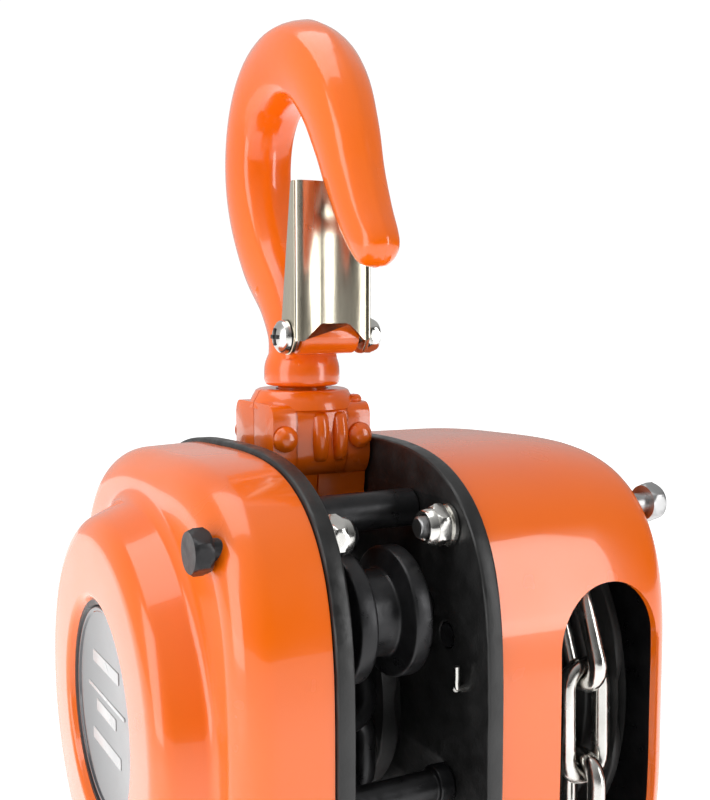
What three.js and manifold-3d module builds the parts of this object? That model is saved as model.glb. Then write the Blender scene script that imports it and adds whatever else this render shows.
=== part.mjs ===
// Hand chain hoist of one tonne: a top hook in a swivelling yoke, a body of two side plates with the load
// sheave between them, a gear train under the left cover, a screw brake and the hand wheel under the right
// cover, a load chain with its bottom hook, and an endless hand chain. Millimetres, +Z up. X runs along
// the sheave's axis, from the gear cover to the hand wheel cover; -Y is the front. Everything is placed
// about the sheave's axis; the last lines move the whole so that the origin is at the top hook's saddle,
// on its swivel axis.

import * as THREE from "three";
import { mergeVertices } from "three/addons/utils/BufferGeometryUtils.js";
import Module from "manifold-3d";

const wasm = await Module();
wasm.setup();

// ---- driving dimensions -------------------------------------------------------------------------------

// The side plates' outline is a superellipse, squarer and larger at the front than at the rear.
const BODY_HALF_FRONT = 71;
const BODY_HALF_REAR = 69;
const POWER_FRONT = 3.5;
const POWER_REAR = 2.8;
const PLATE_IN = 17.8; // inner face of each side plate, from the middle plane
const PLATE_OUT = 22.4;
const GAP = 0.3; // between pieces that rest on each other

const YOKE_HALF_WIDTH = 14.7;
const HOOK_X = 2.5; // the top yoke stands a little to the right on its pin
const TOP_PIN_Z = 50;
const SADDLE_Z = 163; // the top hook's saddle
const BOTTOM_PIN_Z = -92;

const CORNER_BOLT = 52.5; // cover bolts at the upper front corner, -Y and +Z
const REAR_BOLT = 48.4; // the hand wheel cover's upper rear bolt, +Y and +Z, clear of the hand chain
const GEAR_REAR_BOLT = [60.1, 16.1]; // the gear cover's rear bolt, clear of the disc gear
const LOW_BOLT_Z = -62.9; // third cover bolt, on the middle line
const BOLT_RADIUS = 2.8;
const HEX_RADIUS = 5.6;

const GEAR_LAND_X = -45; // the land round the gear cover's boss
const GEAR_FACE_X = -58; // the boss's flat face
const NAMEPLATE_RADIUS = 27.5;
const NAMEPLATE_FLOOR_X = -54.5;
const WHEEL_FACE_X = 81; // flat outer face of the hand wheel cover
const SHEET = 2; // pressed steel of the covers

const CHAIN_WIRE = 6; // load chain 6 x 18
const CHAIN_WIDTH = 20;
const SHEAVE_PITCH_RADIUS = 29.3; // five pockets of two links each
const SHEAVE_RADIUS = 33.2;

const HAND_WIRE = 5; // hand chain 5 x 25
const HAND_PITCH = 25;
const HAND_WIDTH = 17;
const HAND_WHEEL_X = 59;
const HAND_PITCH_RADIUS = 56.2; // seven pockets of two links each
const HAND_WHEEL_RADIUS = 60;
const HAND_DROP = 6 * HAND_PITCH; // straight run of each side of the loop

const GEAR_CENTRES = 34; // both stages
const PINION_TEETH = 10;
const DISC_TEETH = 30;
const DISC_PINION_TEETH = 8;
const LOAD_TEETH = 24;

const ROLLER_Y = 42.1;
const ROLLER_Z = 29.5;
const ROLLER_RADIUS = 16.6;

// ---- materials ----------------------------------------------------------------------------------------

function paint(color, roughness, metalness) {
  return new THREE.MeshStandardMaterial({ color, roughness, metalness });
}
const ORANGE = paint(0xe8480a, 0.2, 0);
const BLACK = paint(0x141414, 0.45, 0.2);
const OXIDE = paint(0x1b1b1c, 0.5, 0.6);
const ZINC = paint(0xb9b7b0, 0.3, 1);
const LATCH_STEEL = paint(0xc9bfa2, 0.25, 1);
const STEEL = paint(0x8d8d8d, 0.35, 1);
const CAST = paint(0x2a2a2a, 0.6, 0.5);
const LINING = paint(0x5a4636, 0.9, 0);
const LABEL = paint(0x3a3a3e, 0.15, 0);

// ---- solids -------------------------------------------------------------------------------------------

// A closed geometry as a manifold-3d solid, turned the right way out.
function solid(geometry) {
  const bare = (geometry.index ? geometry.toNonIndexed() : geometry).clone();
  const merged = mergeVertices(
    new THREE.BufferGeometry().setAttribute("position", bare.getAttribute("position")),
    1e-4,
  );
  const index = merged.index.array;
  const kept = [];
  for (let i = 0; i < index.length; i += 3) {
    const [a, b, c] = [index[i], index[i + 1], index[i + 2]];
    if (a !== b && b !== c && c !== a) kept.push(a, b, c);
  }
  const build = (triangles) =>
    new wasm.Manifold(
      new wasm.Mesh({
        numProp: 3,
        vertProperties: merged.attributes.position.array,
        triVerts: new Uint32Array(triangles),
      }),
    );
  const made = build(kept);
  return made.volume() >= 0 ? made : build(kept.reverse());
}

function geometryOf(made) {
  const mesh = made.simplify(0.004).getMesh();
  const position = new Float32Array(mesh.numVert * 3);
  for (let i = 0; i < mesh.numVert; i++) {
    position.set(mesh.vertProperties.subarray(i * mesh.numProp, i * mesh.numProp + 3), i * 3);
  }
  return new THREE.BufferGeometry()
    .setAttribute("position", new THREE.BufferAttribute(position, 3))
    .setIndex(new THREE.BufferAttribute(mesh.triVerts, 1));
}

function join(...parts) {
  return parts.reduce((whole, part) => whole.add(part));
}

function cut(whole, ...parts) {
  return parts.reduce((rest, part) => rest.subtract(part), whole);
}

function moved(made, x, y, z) {
  return made.translate([x, y, z]);
}

// An outline of [y, z] points, extruded from x0 to x1.
function prismX(points, x0, x1) {
  const shape = new THREE.Shape(points.map(([y, z]) => new THREE.Vector2(y, z)));
  const options = { depth: x1 - x0, bevelEnabled: false, curveSegments: 1 };
  const geometry = new THREE.ExtrudeGeometry(shape, options);
  const axes = new THREE.Matrix4().makeBasis(
    new THREE.Vector3(0, 1, 0),
    new THREE.Vector3(0, 0, 1),
    new THREE.Vector3(1, 0, 0),
  );
  return solid(geometry.applyMatrix4(axes).translate(x0, 0, 0));
}

function box(x0, x1, y0, y1, z0, z1) {
  const geometry = new THREE.BoxGeometry(x1 - x0, y1 - y0, z1 - z0);
  return solid(geometry.translate((x0 + x1) / 2, (y0 + y1) / 2, (z0 + z1) / 2));
}

function circle(radius, count, phase = 0) {
  return Array.from({ length: count }, (_, i) => {
    const angle = ((i + phase) / count) * 2 * Math.PI;
    return [radius * Math.cos(angle), radius * Math.sin(angle)];
  });
}

function barX(radius, x0, x1, y = 0, z = 0, sides = 20) {
  return moved(prismX(circle(radius, sides), x0, x1), 0, y, z);
}

function hexX(x0, x1, y, z) {
  return moved(prismX(circle(HEX_RADIUS, 6, 0.5), x0, x1), 0, y, z);
}

// A profile of [radius, x] points, turned about the X axis. It starts and ends on the axis or closes
// on itself.
function turnedX(profile, sides = 28) {
  const points = profile.map(([radius, x]) => new THREE.Vector2(radius, x));
  return solid(new THREE.LatheGeometry(points, sides).rotateZ(-Math.PI / 2));
}

// The same about the vertical axis, with [radius, z] points.
function turnedZ(profile, sides = 14) {
  const points = profile.map(([radius, z]) => new THREE.Vector2(radius, z));
  return solid(new THREE.LatheGeometry(points, sides).rotateX(Math.PI / 2));
}

// A skin over rings of points [x, y, z]. Its ends are closed by fans, or joined to each other when it
// is a loop.
function skin(rings, loop = false) {
  const count = rings[0].length;
  const position = [];
  const index = [];
  for (const ring of rings) for (const point of ring) position.push(...point);
  for (let r = 0; r < rings.length - (loop ? 0 : 1); r++) {
    const next = (r + 1) % rings.length;
    for (let i = 0; i < count; i++) {
      const j = (i + 1) % count;
      const [a, b] = [r * count + i, r * count + j];
      const [c, d] = [next * count + i, next * count + j];
      index.push(a, b, c, b, d, c);
    }
  }
  const ends = loop ? [] : [[0, 1], [(rings.length - 1) * count, -1]];
  for (const [start, way] of ends) {
    const ring = rings[start / count];
    const middle = [0, 1, 2].map((k) => ring.reduce((sum, point) => sum + point[k], 0) / count);
    const centre = position.length / 3;
    position.push(...middle);
    for (let i = 0; i < count; i++) {
      const a = start + i;
      const b = start + ((i + 1) % count);
      index.push(...(way > 0 ? [centre, b, a] : [centre, a, b]));
    }
  }
  const geometry = new THREE.BufferGeometry();
  geometry.setAttribute("position", new THREE.BufferAttribute(new Float32Array(position), 3));
  geometry.setIndex(index);
  return solid(geometry);
}

const hoist = new THREE.Group();
hoist.position.set(-HOOK_X, 0, -SADDLE_Z);

function add(name, made, material) {
  const mesh = new THREE.Mesh(geometryOf(made), material);
  mesh.name = name;
  hoist.add(mesh);
}

function smooth(low, high, value) {
  const t = Math.min(1, Math.max(0, (value - low) / (high - low)));
  return t * t * (3 - 2 * t);
}

// ---- side plates, hook pin and stays ------------------------------------------------------------------

function outlineRadius(angle) {
  const rear = smooth(-0.6, 0.6, Math.cos(angle));
  const power = POWER_FRONT + (POWER_REAR - POWER_FRONT) * rear;
  const half = BODY_HALF_FRONT + (BODY_HALF_REAR - BODY_HALF_FRONT) * rear;
  const side = Math.abs(Math.cos(angle)) ** power + Math.abs(Math.sin(angle)) ** power;
  return half / side ** (1 / power);
}

function outline(inset, count) {
  return Array.from({ length: count }, (_, i) => {
    const angle = (i / count) * 2 * Math.PI;
    const radius = outlineRadius(angle) - inset;
    return [radius * Math.cos(angle), radius * Math.sin(angle)];
  });
}

const STAYS = [
  ["stay_upper_front", -34.5, 54],
  ["stay_upper_rear", 34.5, 54],
  ["stay_lower_front", -52.5, -14],
  ["stay_lower_rear", 52.5, -14],
];
const WHEEL_BOLTS = [
  ["upper_front", -CORNER_BOLT, CORNER_BOLT],
  ["upper_rear", REAR_BOLT, REAR_BOLT],
  ["lower", 0, LOW_BOLT_Z],
];
const GEAR_BOLTS = [
  ["upper_front", -CORNER_BOLT, CORNER_BOLT],
  ["upper_rear", ...GEAR_REAR_BOLT],
  ["lower", 0, LOW_BOLT_Z],
];
const STAY_SPIGOT = 3.5; // radius of a stay's riveted ends, in the plates
const PIN_END_RADIUS = 4.6; // the hook pin's ends, in the plates
const HUB_BORE = 17; // seat of a sheave bearing
const ROLLER_PIN_RADIUS = 3.5;
const PAWL_PIN = [-52, 24];
const ANCHOR = [54, -42];

function sidePlate(side) {
  let plate = prismX(outline(0, 32), PLATE_IN, PLATE_OUT);
  const hole = (radius, y, z, sides = 8) => {
    plate = cut(plate, barX(radius + GAP, PLATE_IN - 1, PLATE_OUT + 1, y, z, sides));
  };
  hole(HUB_BORE, 0, 0, 20);
  hole(PIN_END_RADIUS, 0, TOP_PIN_Z);
  for (const [, y, z] of STAYS) hole(STAY_SPIGOT, y, z);
  for (const [, y, z] of side > 0 ? WHEEL_BOLTS : GEAR_BOLTS) hole(BOLT_RADIUS, y, z);
  for (const y of [-ROLLER_Y, ROLLER_Y]) hole(ROLLER_PIN_RADIUS, y, ROLLER_Z);
  hole(3, ...ANCHOR);
  if (side > 0) hole(3, ...PAWL_PIN);
  else for (const y of [-GEAR_CENTRES, GEAR_CENTRES]) hole(4, y, 0);
  return side > 0 ? plate : plate.mirror([1, 0, 0]);
}
add("gear_side_plate", sidePlate(-1), BLACK);
add("wheel_side_plate", sidePlate(1), BLACK);

// A round bar across the gap, with thinner ends in both plates.
function crossBar(radius, endRadius, y, z, sides = 20) {
  const inside = PLATE_IN - GAP;
  return join(
    barX(radius, -inside, inside, y, z, sides),
    barX(endRadius, -PLATE_OUT, PLATE_OUT, y, z, 8),
  );
}
add("hook_pin", crossBar(6, PIN_END_RADIUS, 0, TOP_PIN_Z), OXIDE);
for (const [name, y, z] of STAYS) add(name, crossBar(5, STAY_SPIGOT, y, z, 10), OXIDE);

// ---- cover bolts and lock nuts ------------------------------------------------------------------------

const NUT_HEIGHT = 7.2;
const HEAD_HEIGHT = 4.6;

// A hexagon bolt whose head bears on headX; side is +1 on the hand wheel's side and -1 on the gears' side.
function coverBolt(side, headX, y, z) {
  const [a, b] = [side * headX, side * (headX + HEAD_HEIGHT)].sort((p, q) => p - q);
  const [c, d] = [side * (headX + 1), side * (PLATE_IN - NUT_HEIGHT - 2)].sort((p, q) => p - q);
  return join(hexX(a, b, y, z), barX(BOLT_RADIUS, c, d, y, z, 8));
}

// A lock nut on a plate's inner face.
function lockNut(side, y, z) {
  const face = PLATE_IN - GAP;
  const nut = cut(hexX(face - NUT_HEIGHT, face, y, z), barX(BOLT_RADIUS + GAP, 0, 20, y, z, 8));
  return side > 0 ? nut : nut.mirror([1, 0, 0]);
}

const GEAR_HEADS = { upper_front: 45.4, upper_rear: 45.4, lower: 46.4 };
for (const [place, y, z] of GEAR_BOLTS) {
  add("gear_cover_bolt_" + place, coverBolt(-1, GEAR_HEADS[place] + GAP, y, z), OXIDE);
  add("gear_cover_nut_" + place, lockNut(-1, y, z), ZINC);
}
for (const [place, y, z] of WHEEL_BOLTS) {
  add("wheel_cover_bolt_" + place, coverBolt(1, WHEEL_FACE_X + GAP, y, z), OXIDE);
  add("wheel_cover_nut_" + place, lockNut(1, y, z), ZINC);
}

// ---- gear cover ---------------------------------------------------------------------------------------

const COVER_SIDES = 24;
const SEAT_DEPTH = 0.6;
// Each ring of the pressed sheet: x, how far inside the plates' outline or, for a circle, its radius.
const GEAR_RINGS = [
  { x: -PLATE_OUT - GAP, inset: 1.2 },
  { x: -40.5, inset: 4.2 },
  { x: -44, inset: 8.5 },
  { x: GEAR_LAND_X, inset: 13 },
  { x: GEAR_LAND_X, radius: 55.5 },
  { x: -55.5, radius: 50 },
  { x: GEAR_FACE_X, radius: 44.5 },
  { x: GEAR_FACE_X, radius: NAMEPLATE_RADIUS + 3 },
  { x: NAMEPLATE_FLOOR_X, radius: NAMEPLATE_RADIUS + 0.8 },
];

// How far the sheet is pressed in round a bolt.
function seatDepth(y, z) {
  const depth = ([, boltY, boltZ]) => SEAT_DEPTH * (1 - smooth(7, 13, Math.hypot(y - boltY, z - boltZ)));
  return Math.max(...GEAR_BOLTS.map(depth));
}

function gearCoverRing(ring, inward) {
  return Array.from({ length: COVER_SIDES }, (_, i) => {
    const angle = (i / COVER_SIDES) * 2 * Math.PI;
    const rim = outlineRadius(angle);
    const wanted = ring.radius ?? Math.max(rim - ring.inset, 56);
    const radius = Math.min(wanted, rim - 1.2) - inward.radius;
    const y = radius * Math.cos(angle);
    const z = radius * Math.sin(angle);
    const pressed = ring.x < -30 && ring.x > -48 ? seatDepth(y, z) : 0;
    return [ring.x + pressed + inward.x, y, z];
  });
}

function gearCover() {
  const outside = GEAR_RINGS.map((ring) => gearCoverRing(ring, { x: 0, radius: 0 }));
  const inside = GEAR_RINGS.map((ring, i) => {
    const shoulder = Math.min(1, i / 2);
    return gearCoverRing(ring, { x: SHEET * shoulder, radius: SHEET });
  });
  const shell = skin([...outside.reverse(), ...inside]);
  const holes = GEAR_BOLTS.map(([, y, z]) => barX(BOLT_RADIUS + GAP, -60, -24, y, z, 12));
  const cup = (y, x0) => cut(barX(7.2, x0, -47, y, 0, 10), barX(4.7, -52.2, -46, y, 0, 10));
  const cups = [cup(-GEAR_CENTRES, -53.8), cup(GEAR_CENTRES, -53.8), cup(0, -53.6)];
  return cut(join(shell, ...cups), ...holes);
}
add("gear_cover", gearCover(), ORANGE);
add(
  "nameplate",
  barX(NAMEPLATE_RADIUS, NAMEPLATE_FLOOR_X - GAP - 0.8, NAMEPLATE_FLOOR_X - GAP, 0, 0, 28),
  LABEL,
);

// ---- hand wheel cover ---------------------------------------------------------------------------------

const WHEEL_RINGS = [
  { x: PLATE_OUT + GAP, inset: 1.2 },
  { x: 73, inset: 2.6 },
  { x: 78, inset: 5.5 },
  { x: WHEEL_FACE_X, inset: 15 },
  { x: WHEEL_FACE_X, radius: 30 },
];
const SLOT_X = 57; // middle of the chain slots
const SLOT_HALF = 16.4;
const SLOT_TOP = 36.5;

function wheelCoverRing(ring, inward) {
  return Array.from({ length: COVER_SIDES }, (_, i) => {
    const angle = (i / COVER_SIDES) * 2 * Math.PI;
    const radius = (ring.radius ?? outlineRadius(angle) - ring.inset) - inward.radius;
    return [ring.x - inward.x, radius * Math.cos(angle), radius * Math.sin(angle)];
  });
}

// A chain slot: round at the top, and open down past the cover's lower edge.
function chainSlot(y0, y1) {
  const shape = new THREE.Shape();
  const middle = SLOT_TOP - SLOT_HALF;
  shape.moveTo(-SLOT_HALF, -90);
  shape.lineTo(SLOT_HALF, -90);
  shape.lineTo(SLOT_HALF, middle);
  shape.absarc(0, middle, SLOT_HALF, 0, Math.PI, false);
  shape.closePath();
  const options = { depth: y1 - y0, bevelEnabled: false, curveSegments: 10 };
  const geometry = new THREE.ExtrudeGeometry(shape, options);
  return solid(geometry.rotateX(Math.PI / 2).translate(SLOT_X, y1, 0));
}

function wheelCover() {
  const outside = WHEEL_RINGS.map((ring) => wheelCoverRing(ring, { x: 0, radius: 0 }));
  const inside = WHEEL_RINGS.map((ring, i) =>
    wheelCoverRing(ring, { x: SHEET * Math.min(1, i / 3), radius: SHEET }),
  );
  const shell = skin([...outside.reverse(), ...inside]);
  const holes = WHEEL_BOLTS.map(([, y, z]) => barX(BOLT_RADIUS + GAP, 60, 90, y, z, 12));
  return cut(shell, ...holes, chainSlot(-90, -38), chainSlot(38, 90));
}
add("hand_wheel_cover", wheelCover(), ORANGE);

// ---- hooks --------------------------------------------------------------------------------------------

const HOOK_COLLAR_Z = -78.5; // underside of the hook's collar, below its saddle
const NECK_RADIUS = 6.8;
const LATCH_PIVOT = [-14, -64.5]; // y and z from the saddle
const LATCH_HOLE = 2.2;

// The middle line of a hook in its own plane, from the neck to the tip: y, z, half width in the plane,
// half thickness.
// z is measured from the saddle, and -Y is the open side.
const HOOK_LINE = [
  [0, -72, 9.5, 9.5],
  [2, -64, 8.2, 8.6],
  [9.5, -54, 8.6, 8.2],
  [20.5, -43, 9.8, 8.4],
  [28.5, -29, 10.6, 8.8],
  [31, -16, 11, 9],
  [28, -3, 11, 9.2],
  [19.5, 6.5, 11, 9.4],
  [5, 10.8, 10.8, 9.4],
  [-9, 8, 10.4, 9.2],
  [-20, -1, 9.8, 8.8],
  [-27, -12.5, 8.8, 8],
  [-32, -24, 7.6, 7.2],
  [-37.5, -34, 6.6, 6.6],
  [-43, -41.5, 5.8, 6],
  [-45.6, -45, 3.6, 3.8],
];

function hookRings(sides) {
  const line = HOOK_LINE.map(([y, z]) => new THREE.Vector3(0, y, z));
  return HOOK_LINE.map(([y, z, width, thickness], i) => {
    const before = line[Math.max(0, i - 1)];
    const after = line[Math.min(line.length - 1, i + 1)];
    const along = after.clone().sub(before).normalize();
    const across = new THREE.Vector3(0, -along.z, along.y);
    return Array.from({ length: sides }, (_, k) => {
      const angle = ((k + 0.5) / sides) * 2 * Math.PI;
      const flat = 1 / Math.max(Math.abs(Math.cos(angle)), Math.abs(Math.sin(angle))) ** 0.3;
      const out = width * Math.cos(angle) * flat;
      return [thickness * Math.sin(angle) * flat, y + across.y * out, z + across.z * out];
    });
  });
}

// Collar, neck and the button that the yoke holds, about the vertical axis.
const SHANK = [
  [0, -64],
  [8.4, -66],
  [9.6, -70],
  [10.6, -73],
  [10.6, -77.9],
  [10, HOOK_COLLAR_Z],
  [NECK_RADIUS, HOOK_COLLAR_Z],
  [NECK_RADIUS, -94],
  [10.5, -94],
  [10.5, -100],
  [0, -100],
];

function hook() {
  const boss = barX(4.8, -8.6, 8.6, ...LATCH_PIVOT, 10);
  const web = prismX([[-14, -69.5], [4, -71], [4, -58], [-13, -59.5]], -6.5, 6.5);
  const body = join(skin(hookRings(8)), turnedZ(SHANK), boss, web);
  return cut(body, barX(LATCH_HOLE + GAP, -20, 20, ...LATCH_PIVOT, 8));
}

// The spring latch: a sheet channel whose web closes the hook's throat and whose ears turn on the bolt.
const LATCH_HALF = 11.3;
const LATCH_SHEET = 1.2;
function latch() {
  const web = box(-LATCH_HALF, LATCH_HALF, -20.6, -20.6 + LATCH_SHEET, -63, -24);
  const ear = (x0, x1) => {
    const arch = [[-20.6, -66], [-17, -69.5], [-11.5, -69], [-9.5, -64.5]];
    const points = [...arch, [-11, -60], [-17, -24], [-20.6, -24]];
    return prismX(points, x0, x1);
  };
  const ears = join(ear(-LATCH_HALF, -LATCH_HALF + LATCH_SHEET), ear(LATCH_HALF - LATCH_SHEET, LATCH_HALF));
  return cut(join(web, ears), barX(LATCH_HOLE + GAP, -20, 20, ...LATCH_PIVOT, 8));
}

function latchBolt() {
  const [y, z] = LATCH_PIVOT;
  const seat = -LATCH_HALF - GAP;
  const head = turnedX([[0, -14.8], [2.6, -14.4], [4.2, -13.2], [4.6, seat], [0, seat]], 10);
  return join(moved(head, 0, y, z), barX(LATCH_HOLE, -LATCH_HALF - GAP, 15.8, y, z, 12));
}

function latchNut() {
  const [y, z] = LATCH_PIVOT;
  const nut = moved(prismX(circle(4.8, 6), LATCH_HALF + GAP, LATCH_HALF + 4), 0, y, z);
  return cut(nut, barX(LATCH_HOLE + GAP, 0, 20, y, z, 12));
}

// The latch's coil spring, on the bolt beside the hook's boss.
function latchSpring() {
  const [y, z] = LATCH_PIVOT;
  return moved(turnedX([[2.8, -9.8], [4.3, -9.8], [4.3, -8.9], [2.8, -8.9], [2.8, -9.8]], 12), 0, y, z);
}

// ---- yokes --------------------------------------------------------------------------------------------

// A yoke half: a forged block round the hook's shank and the cross pin, split on the plane y = 0.
// z runs from the cross pin at 0 up to the shank's ring; half is +1 at the rear and -1 at the front.
function yokeHalf(half, pinRadius, halfWidth, ringZ, buttonZ) {
  const shoulder = ringZ - 22;
  const side = [[0, -9], [4.5, -8], [8, -4.5], [9, 0], [10.5, shoulder], [13.2, shoulder + 3]];
  side.push([13.2, ringZ - 6], [11.5, ringZ - 3.4], [0, ringZ - 3.4]);
  const ears = prismX(side.map(([y, z]) => [half * y, z]), -halfWidth, halfWidth);
  const ring = turnedZ([[0, ringZ - 5], [14, ringZ - 5], [13.2, ringZ - 1], [12.4, ringZ], [0, ringZ]]);
  const keep = half > 0 ? box(-30, 30, GAP / 2, 40, -40, 60) : box(-30, 30, -40, -GAP / 2, -40, 60);
  const outerFace = half * 13.2;
  const rib = (x0, x1) => {
    const [y0, y1] = [outerFace - half, outerFace + half * 2.2].sort((p, q) => p - q);
    return box(x0, x1, y0, y1, ringZ - 18.5, ringZ - 6.5);
  };
  const block = join(join(ears, ring).intersect(keep), rib(-2.5, 1.5), rib(3.5, 7.2));
  const bore = barX(pinRadius + 0.4, -30, 30, 0, 0, 12);
  const neck = turnedZ([
    [0, buttonZ],
    [NECK_RADIUS + 0.6, buttonZ],
    [NECK_RADIUS + 0.6, ringZ + 2],
    [0, ringZ + 2],
  ]);
  const pocket = turnedZ([[0, buttonZ - 3.6], [11, buttonZ - 3.6], [11, buttonZ + 3.4], [0, buttonZ + 3.4]]);
  return cut(block, bore, neck, pocket);
}

// A rivet through both yoke halves, with a low domed head at the front and at the rear.
function rivet(x, z) {
  const shank = 13.5;
  const profile = [
    [0, -shank - 2.4],
    [2.6, -shank - 1.9],
    [3.6, -shank],
    [1.7, -shank],
    [1.7, shank],
    [3.6, shank],
    [2.6, shank + 1.9],
    [0, shank + 2.4],
  ];
  return turnedX(profile, 8).rotate([0, 0, 90]).translate([x, 0, z]);
}

// A whole hook block. standing is false for the bottom one, which hangs upside down.
function hookBlock(prefix, x, y, saddleZ, pinZ, pinRadius, halfWidth, standing, slot) {
  const set = (made, z) => moved(standing ? made : made.rotate([0, 180, 0]), x, y, z);
  const reach = Math.abs(saddleZ - pinZ);
  const ringZ = reach + HOOK_COLLAR_Z - 1;
  const buttonZ = reach - 97;
  const rivetX = halfWidth - 3.4;
  const rivetZ = ringZ - 12.5;
  const holes = [-rivetX, rivetX].map((at) => {
    return barX(2.1, -40, 40, 0, 0, 8).rotate([0, 0, 90]).translate([at, 0, rivetZ]);
  });
  const half = (way) => {
    const made = cut(yokeHalf(way, pinRadius, halfWidth, ringZ, buttonZ), ...holes);
    return slot ? cut(made, slot) : made;
  };
  add(prefix + "_hook", set(hook(), saddleZ), ORANGE);
  add(prefix + "_latch", set(latch(), saddleZ), LATCH_STEEL);
  add(prefix + "_latch_bolt", set(latchBolt(), saddleZ), ZINC);
  add(prefix + "_yoke_front", set(half(-1), pinZ), ORANGE);
  add(prefix + "_yoke_rear", set(half(1), pinZ), ORANGE);
  if (standing) {
    add(prefix + "_latch_nut", set(latchNut(), saddleZ), ZINC);
    add(prefix + "_latch_spring", set(latchSpring(), saddleZ), STEEL);
    add(prefix + "_yoke_rivet_left", set(rivet(-rivetX, rivetZ), pinZ), ORANGE);
    add(prefix + "_yoke_rivet_right", set(rivet(rivetX, rivetZ), pinZ), ORANGE);
  }
}
hookBlock("top", HOOK_X, 0, SADDLE_Z, TOP_PIN_Z, 6, YOKE_HALF_WIDTH, true, null);

// ---- guide rollers and their pins ---------------------------------------------------------------------

const ROLLER_PROFILE = [
  [ROLLER_PIN_RADIUS + 0.4, -10],
  [ROLLER_RADIUS, -10],
  [ROLLER_RADIUS, -5.2],
  [11, -4],
  [11, 4],
  [ROLLER_RADIUS, 5.2],
  [ROLLER_RADIUS, 10],
  [ROLLER_PIN_RADIUS + 0.4, 10],
  [ROLLER_PIN_RADIUS + 0.4, -10],
];
for (const [place, y] of [["front", -ROLLER_Y], ["rear", ROLLER_Y]]) {
  add("guide_roller_" + place, moved(turnedX(ROLLER_PROFILE, 18), 0, y, ROLLER_Z), OXIDE);
  add("guide_roller_pin_" + place, barX(ROLLER_PIN_RADIUS, -PLATE_OUT, PLATE_OUT, y, ROLLER_Z, 14), OXIDE);
}

// ---- load sheave, its bearings and the gear train -----------------------------------------------------

const SHAFT_RADIUS = 5.9;
const SHEAVE_BORE = SHAFT_RADIUS + 0.6;
const JOURNAL_RADIUS = 11;
const LINK_ROOM = 10.7; // half width of the groove for the flat links
const SLOT_ROOM = 3.7; // half width of the groove for the upright links
const SHEAVE_PROFILE = [
  [SHEAVE_BORE, -31.4],
  [9, -31.4],
  [9, -24.6],
  [JOURNAL_RADIUS, -24.6],
  [JOURNAL_RADIUS, -16],
  [SHEAVE_RADIUS, -16],
  [SHEAVE_RADIUS, -LINK_ROOM],
  [25.6, -LINK_ROOM],
  [25.6, -SLOT_ROOM],
  [18.4, -SLOT_ROOM],
  [18.4, SLOT_ROOM],
  [25.6, SLOT_ROOM],
  [25.6, LINK_ROOM],
  [SHEAVE_RADIUS, LINK_ROOM],
  [SHEAVE_RADIUS, 16],
  [JOURNAL_RADIUS, 16],
  [JOURNAL_RADIUS, 22.4],
  [SHEAVE_BORE, 22.4],
  [SHEAVE_BORE, -31.4],
];
add("load_sheave", turnedX(SHEAVE_PROFILE, 16), CAST);

function ringX(bore, radius, x0, x1, sides = 16) {
  return turnedX([[bore, x0], [radius, x0], [radius, x1], [bore, x1], [bore, x0]], sides);
}
add("sheave_bearing_gear_side", ringX(JOURNAL_RADIUS + GAP, HUB_BORE, -22.8, -16.5), STEEL);
add("sheave_bearing_wheel_side", ringX(JOURNAL_RADIUS + GAP, HUB_BORE, 16.5, 22.8), STEEL);

// A spur gear about the X axis. Its teeth are thinned for backlash; phase is in tooth pitches.
function gear(teeth, module, x0, x1, phase) {
  const pitch = (2 * Math.PI) / teeth;
  const rootRadius = module * (teeth / 2 - 1.15);
  const tipRadius = module * (teeth / 2 + 0.8);
  const points = [];
  for (let i = 0; i < teeth; i++) {
    const middle = (i + phase) * pitch;
    const corners = [[rootRadius, -0.27], [tipRadius, -0.1], [tipRadius, 0.1], [rootRadius, 0.27]];
    for (const [radius, part] of corners) {
      const angle = middle + part * pitch;
      points.push([radius * Math.cos(angle), radius * Math.sin(angle)]);
    }
  }
  return prismX(points, x0, x1);
}
const FIRST_MODULE = (2 * GEAR_CENTRES) / (PINION_TEETH + DISC_TEETH);
const SECOND_MODULE = (2 * GEAR_CENTRES) / (DISC_PINION_TEETH + LOAD_TEETH);
const LOAD_GEAR = gear(LOAD_TEETH, SECOND_MODULE, -31, -25.2, 0.5);
add("load_gear", cut(LOAD_GEAR, barX(9.3, -40, -20, 0, 0, 24)), STEEL);

function discGear(y) {
  const body = join(
    gear(DISC_TEETH, FIRST_MODULE, -37.4, -32, 0.5),
    gear(DISC_PINION_TEETH, SECOND_MODULE, -32.2, -25, 0),
    barX(3.7, -51.5, -18.2, 0, 0, 14),
  );
  return moved(body, 0, y, 0);
}
add("disc_gear_front", discGear(-GEAR_CENTRES), STEEL);
add("disc_gear_rear", discGear(GEAR_CENTRES), STEEL);

const driveShaft = join(
  barX(3.7, -51.5, -38, 0, 0, 16),
  gear(PINION_TEETH, FIRST_MODULE, -38.4, -31.8, 0),
  barX(5, -38.2, -31.6, 0, 0, 16),
  barX(SHAFT_RADIUS, -31.7, 71, 0, 0, 20),
);
add("drive_shaft", driveShaft, STEEL);

// ---- screw brake and hand wheel -----------------------------------------------------------------------

const SEAT = SHAFT_RADIUS + GAP;
const RATCHET_RADIUS = 36;
const RATCHET_ROOT = 32.5;
const RATCHET_TEETH = 20;
const BRAKE_HUB = [[SEAT, 23.2], [28, 23.2], [28, 27.6], [13, 27.6], [13, 38.6], [SEAT, 38.6], [SEAT, 23.2]];
add("brake_hub", turnedX(BRAKE_HUB, 16), STEEL);
add("friction_disc_inner", ringX(13.4, 28, 27.9, 30.3), LINING);
add("friction_disc_outer", ringX(13.4, 28, 36, 38.4), LINING);

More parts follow.
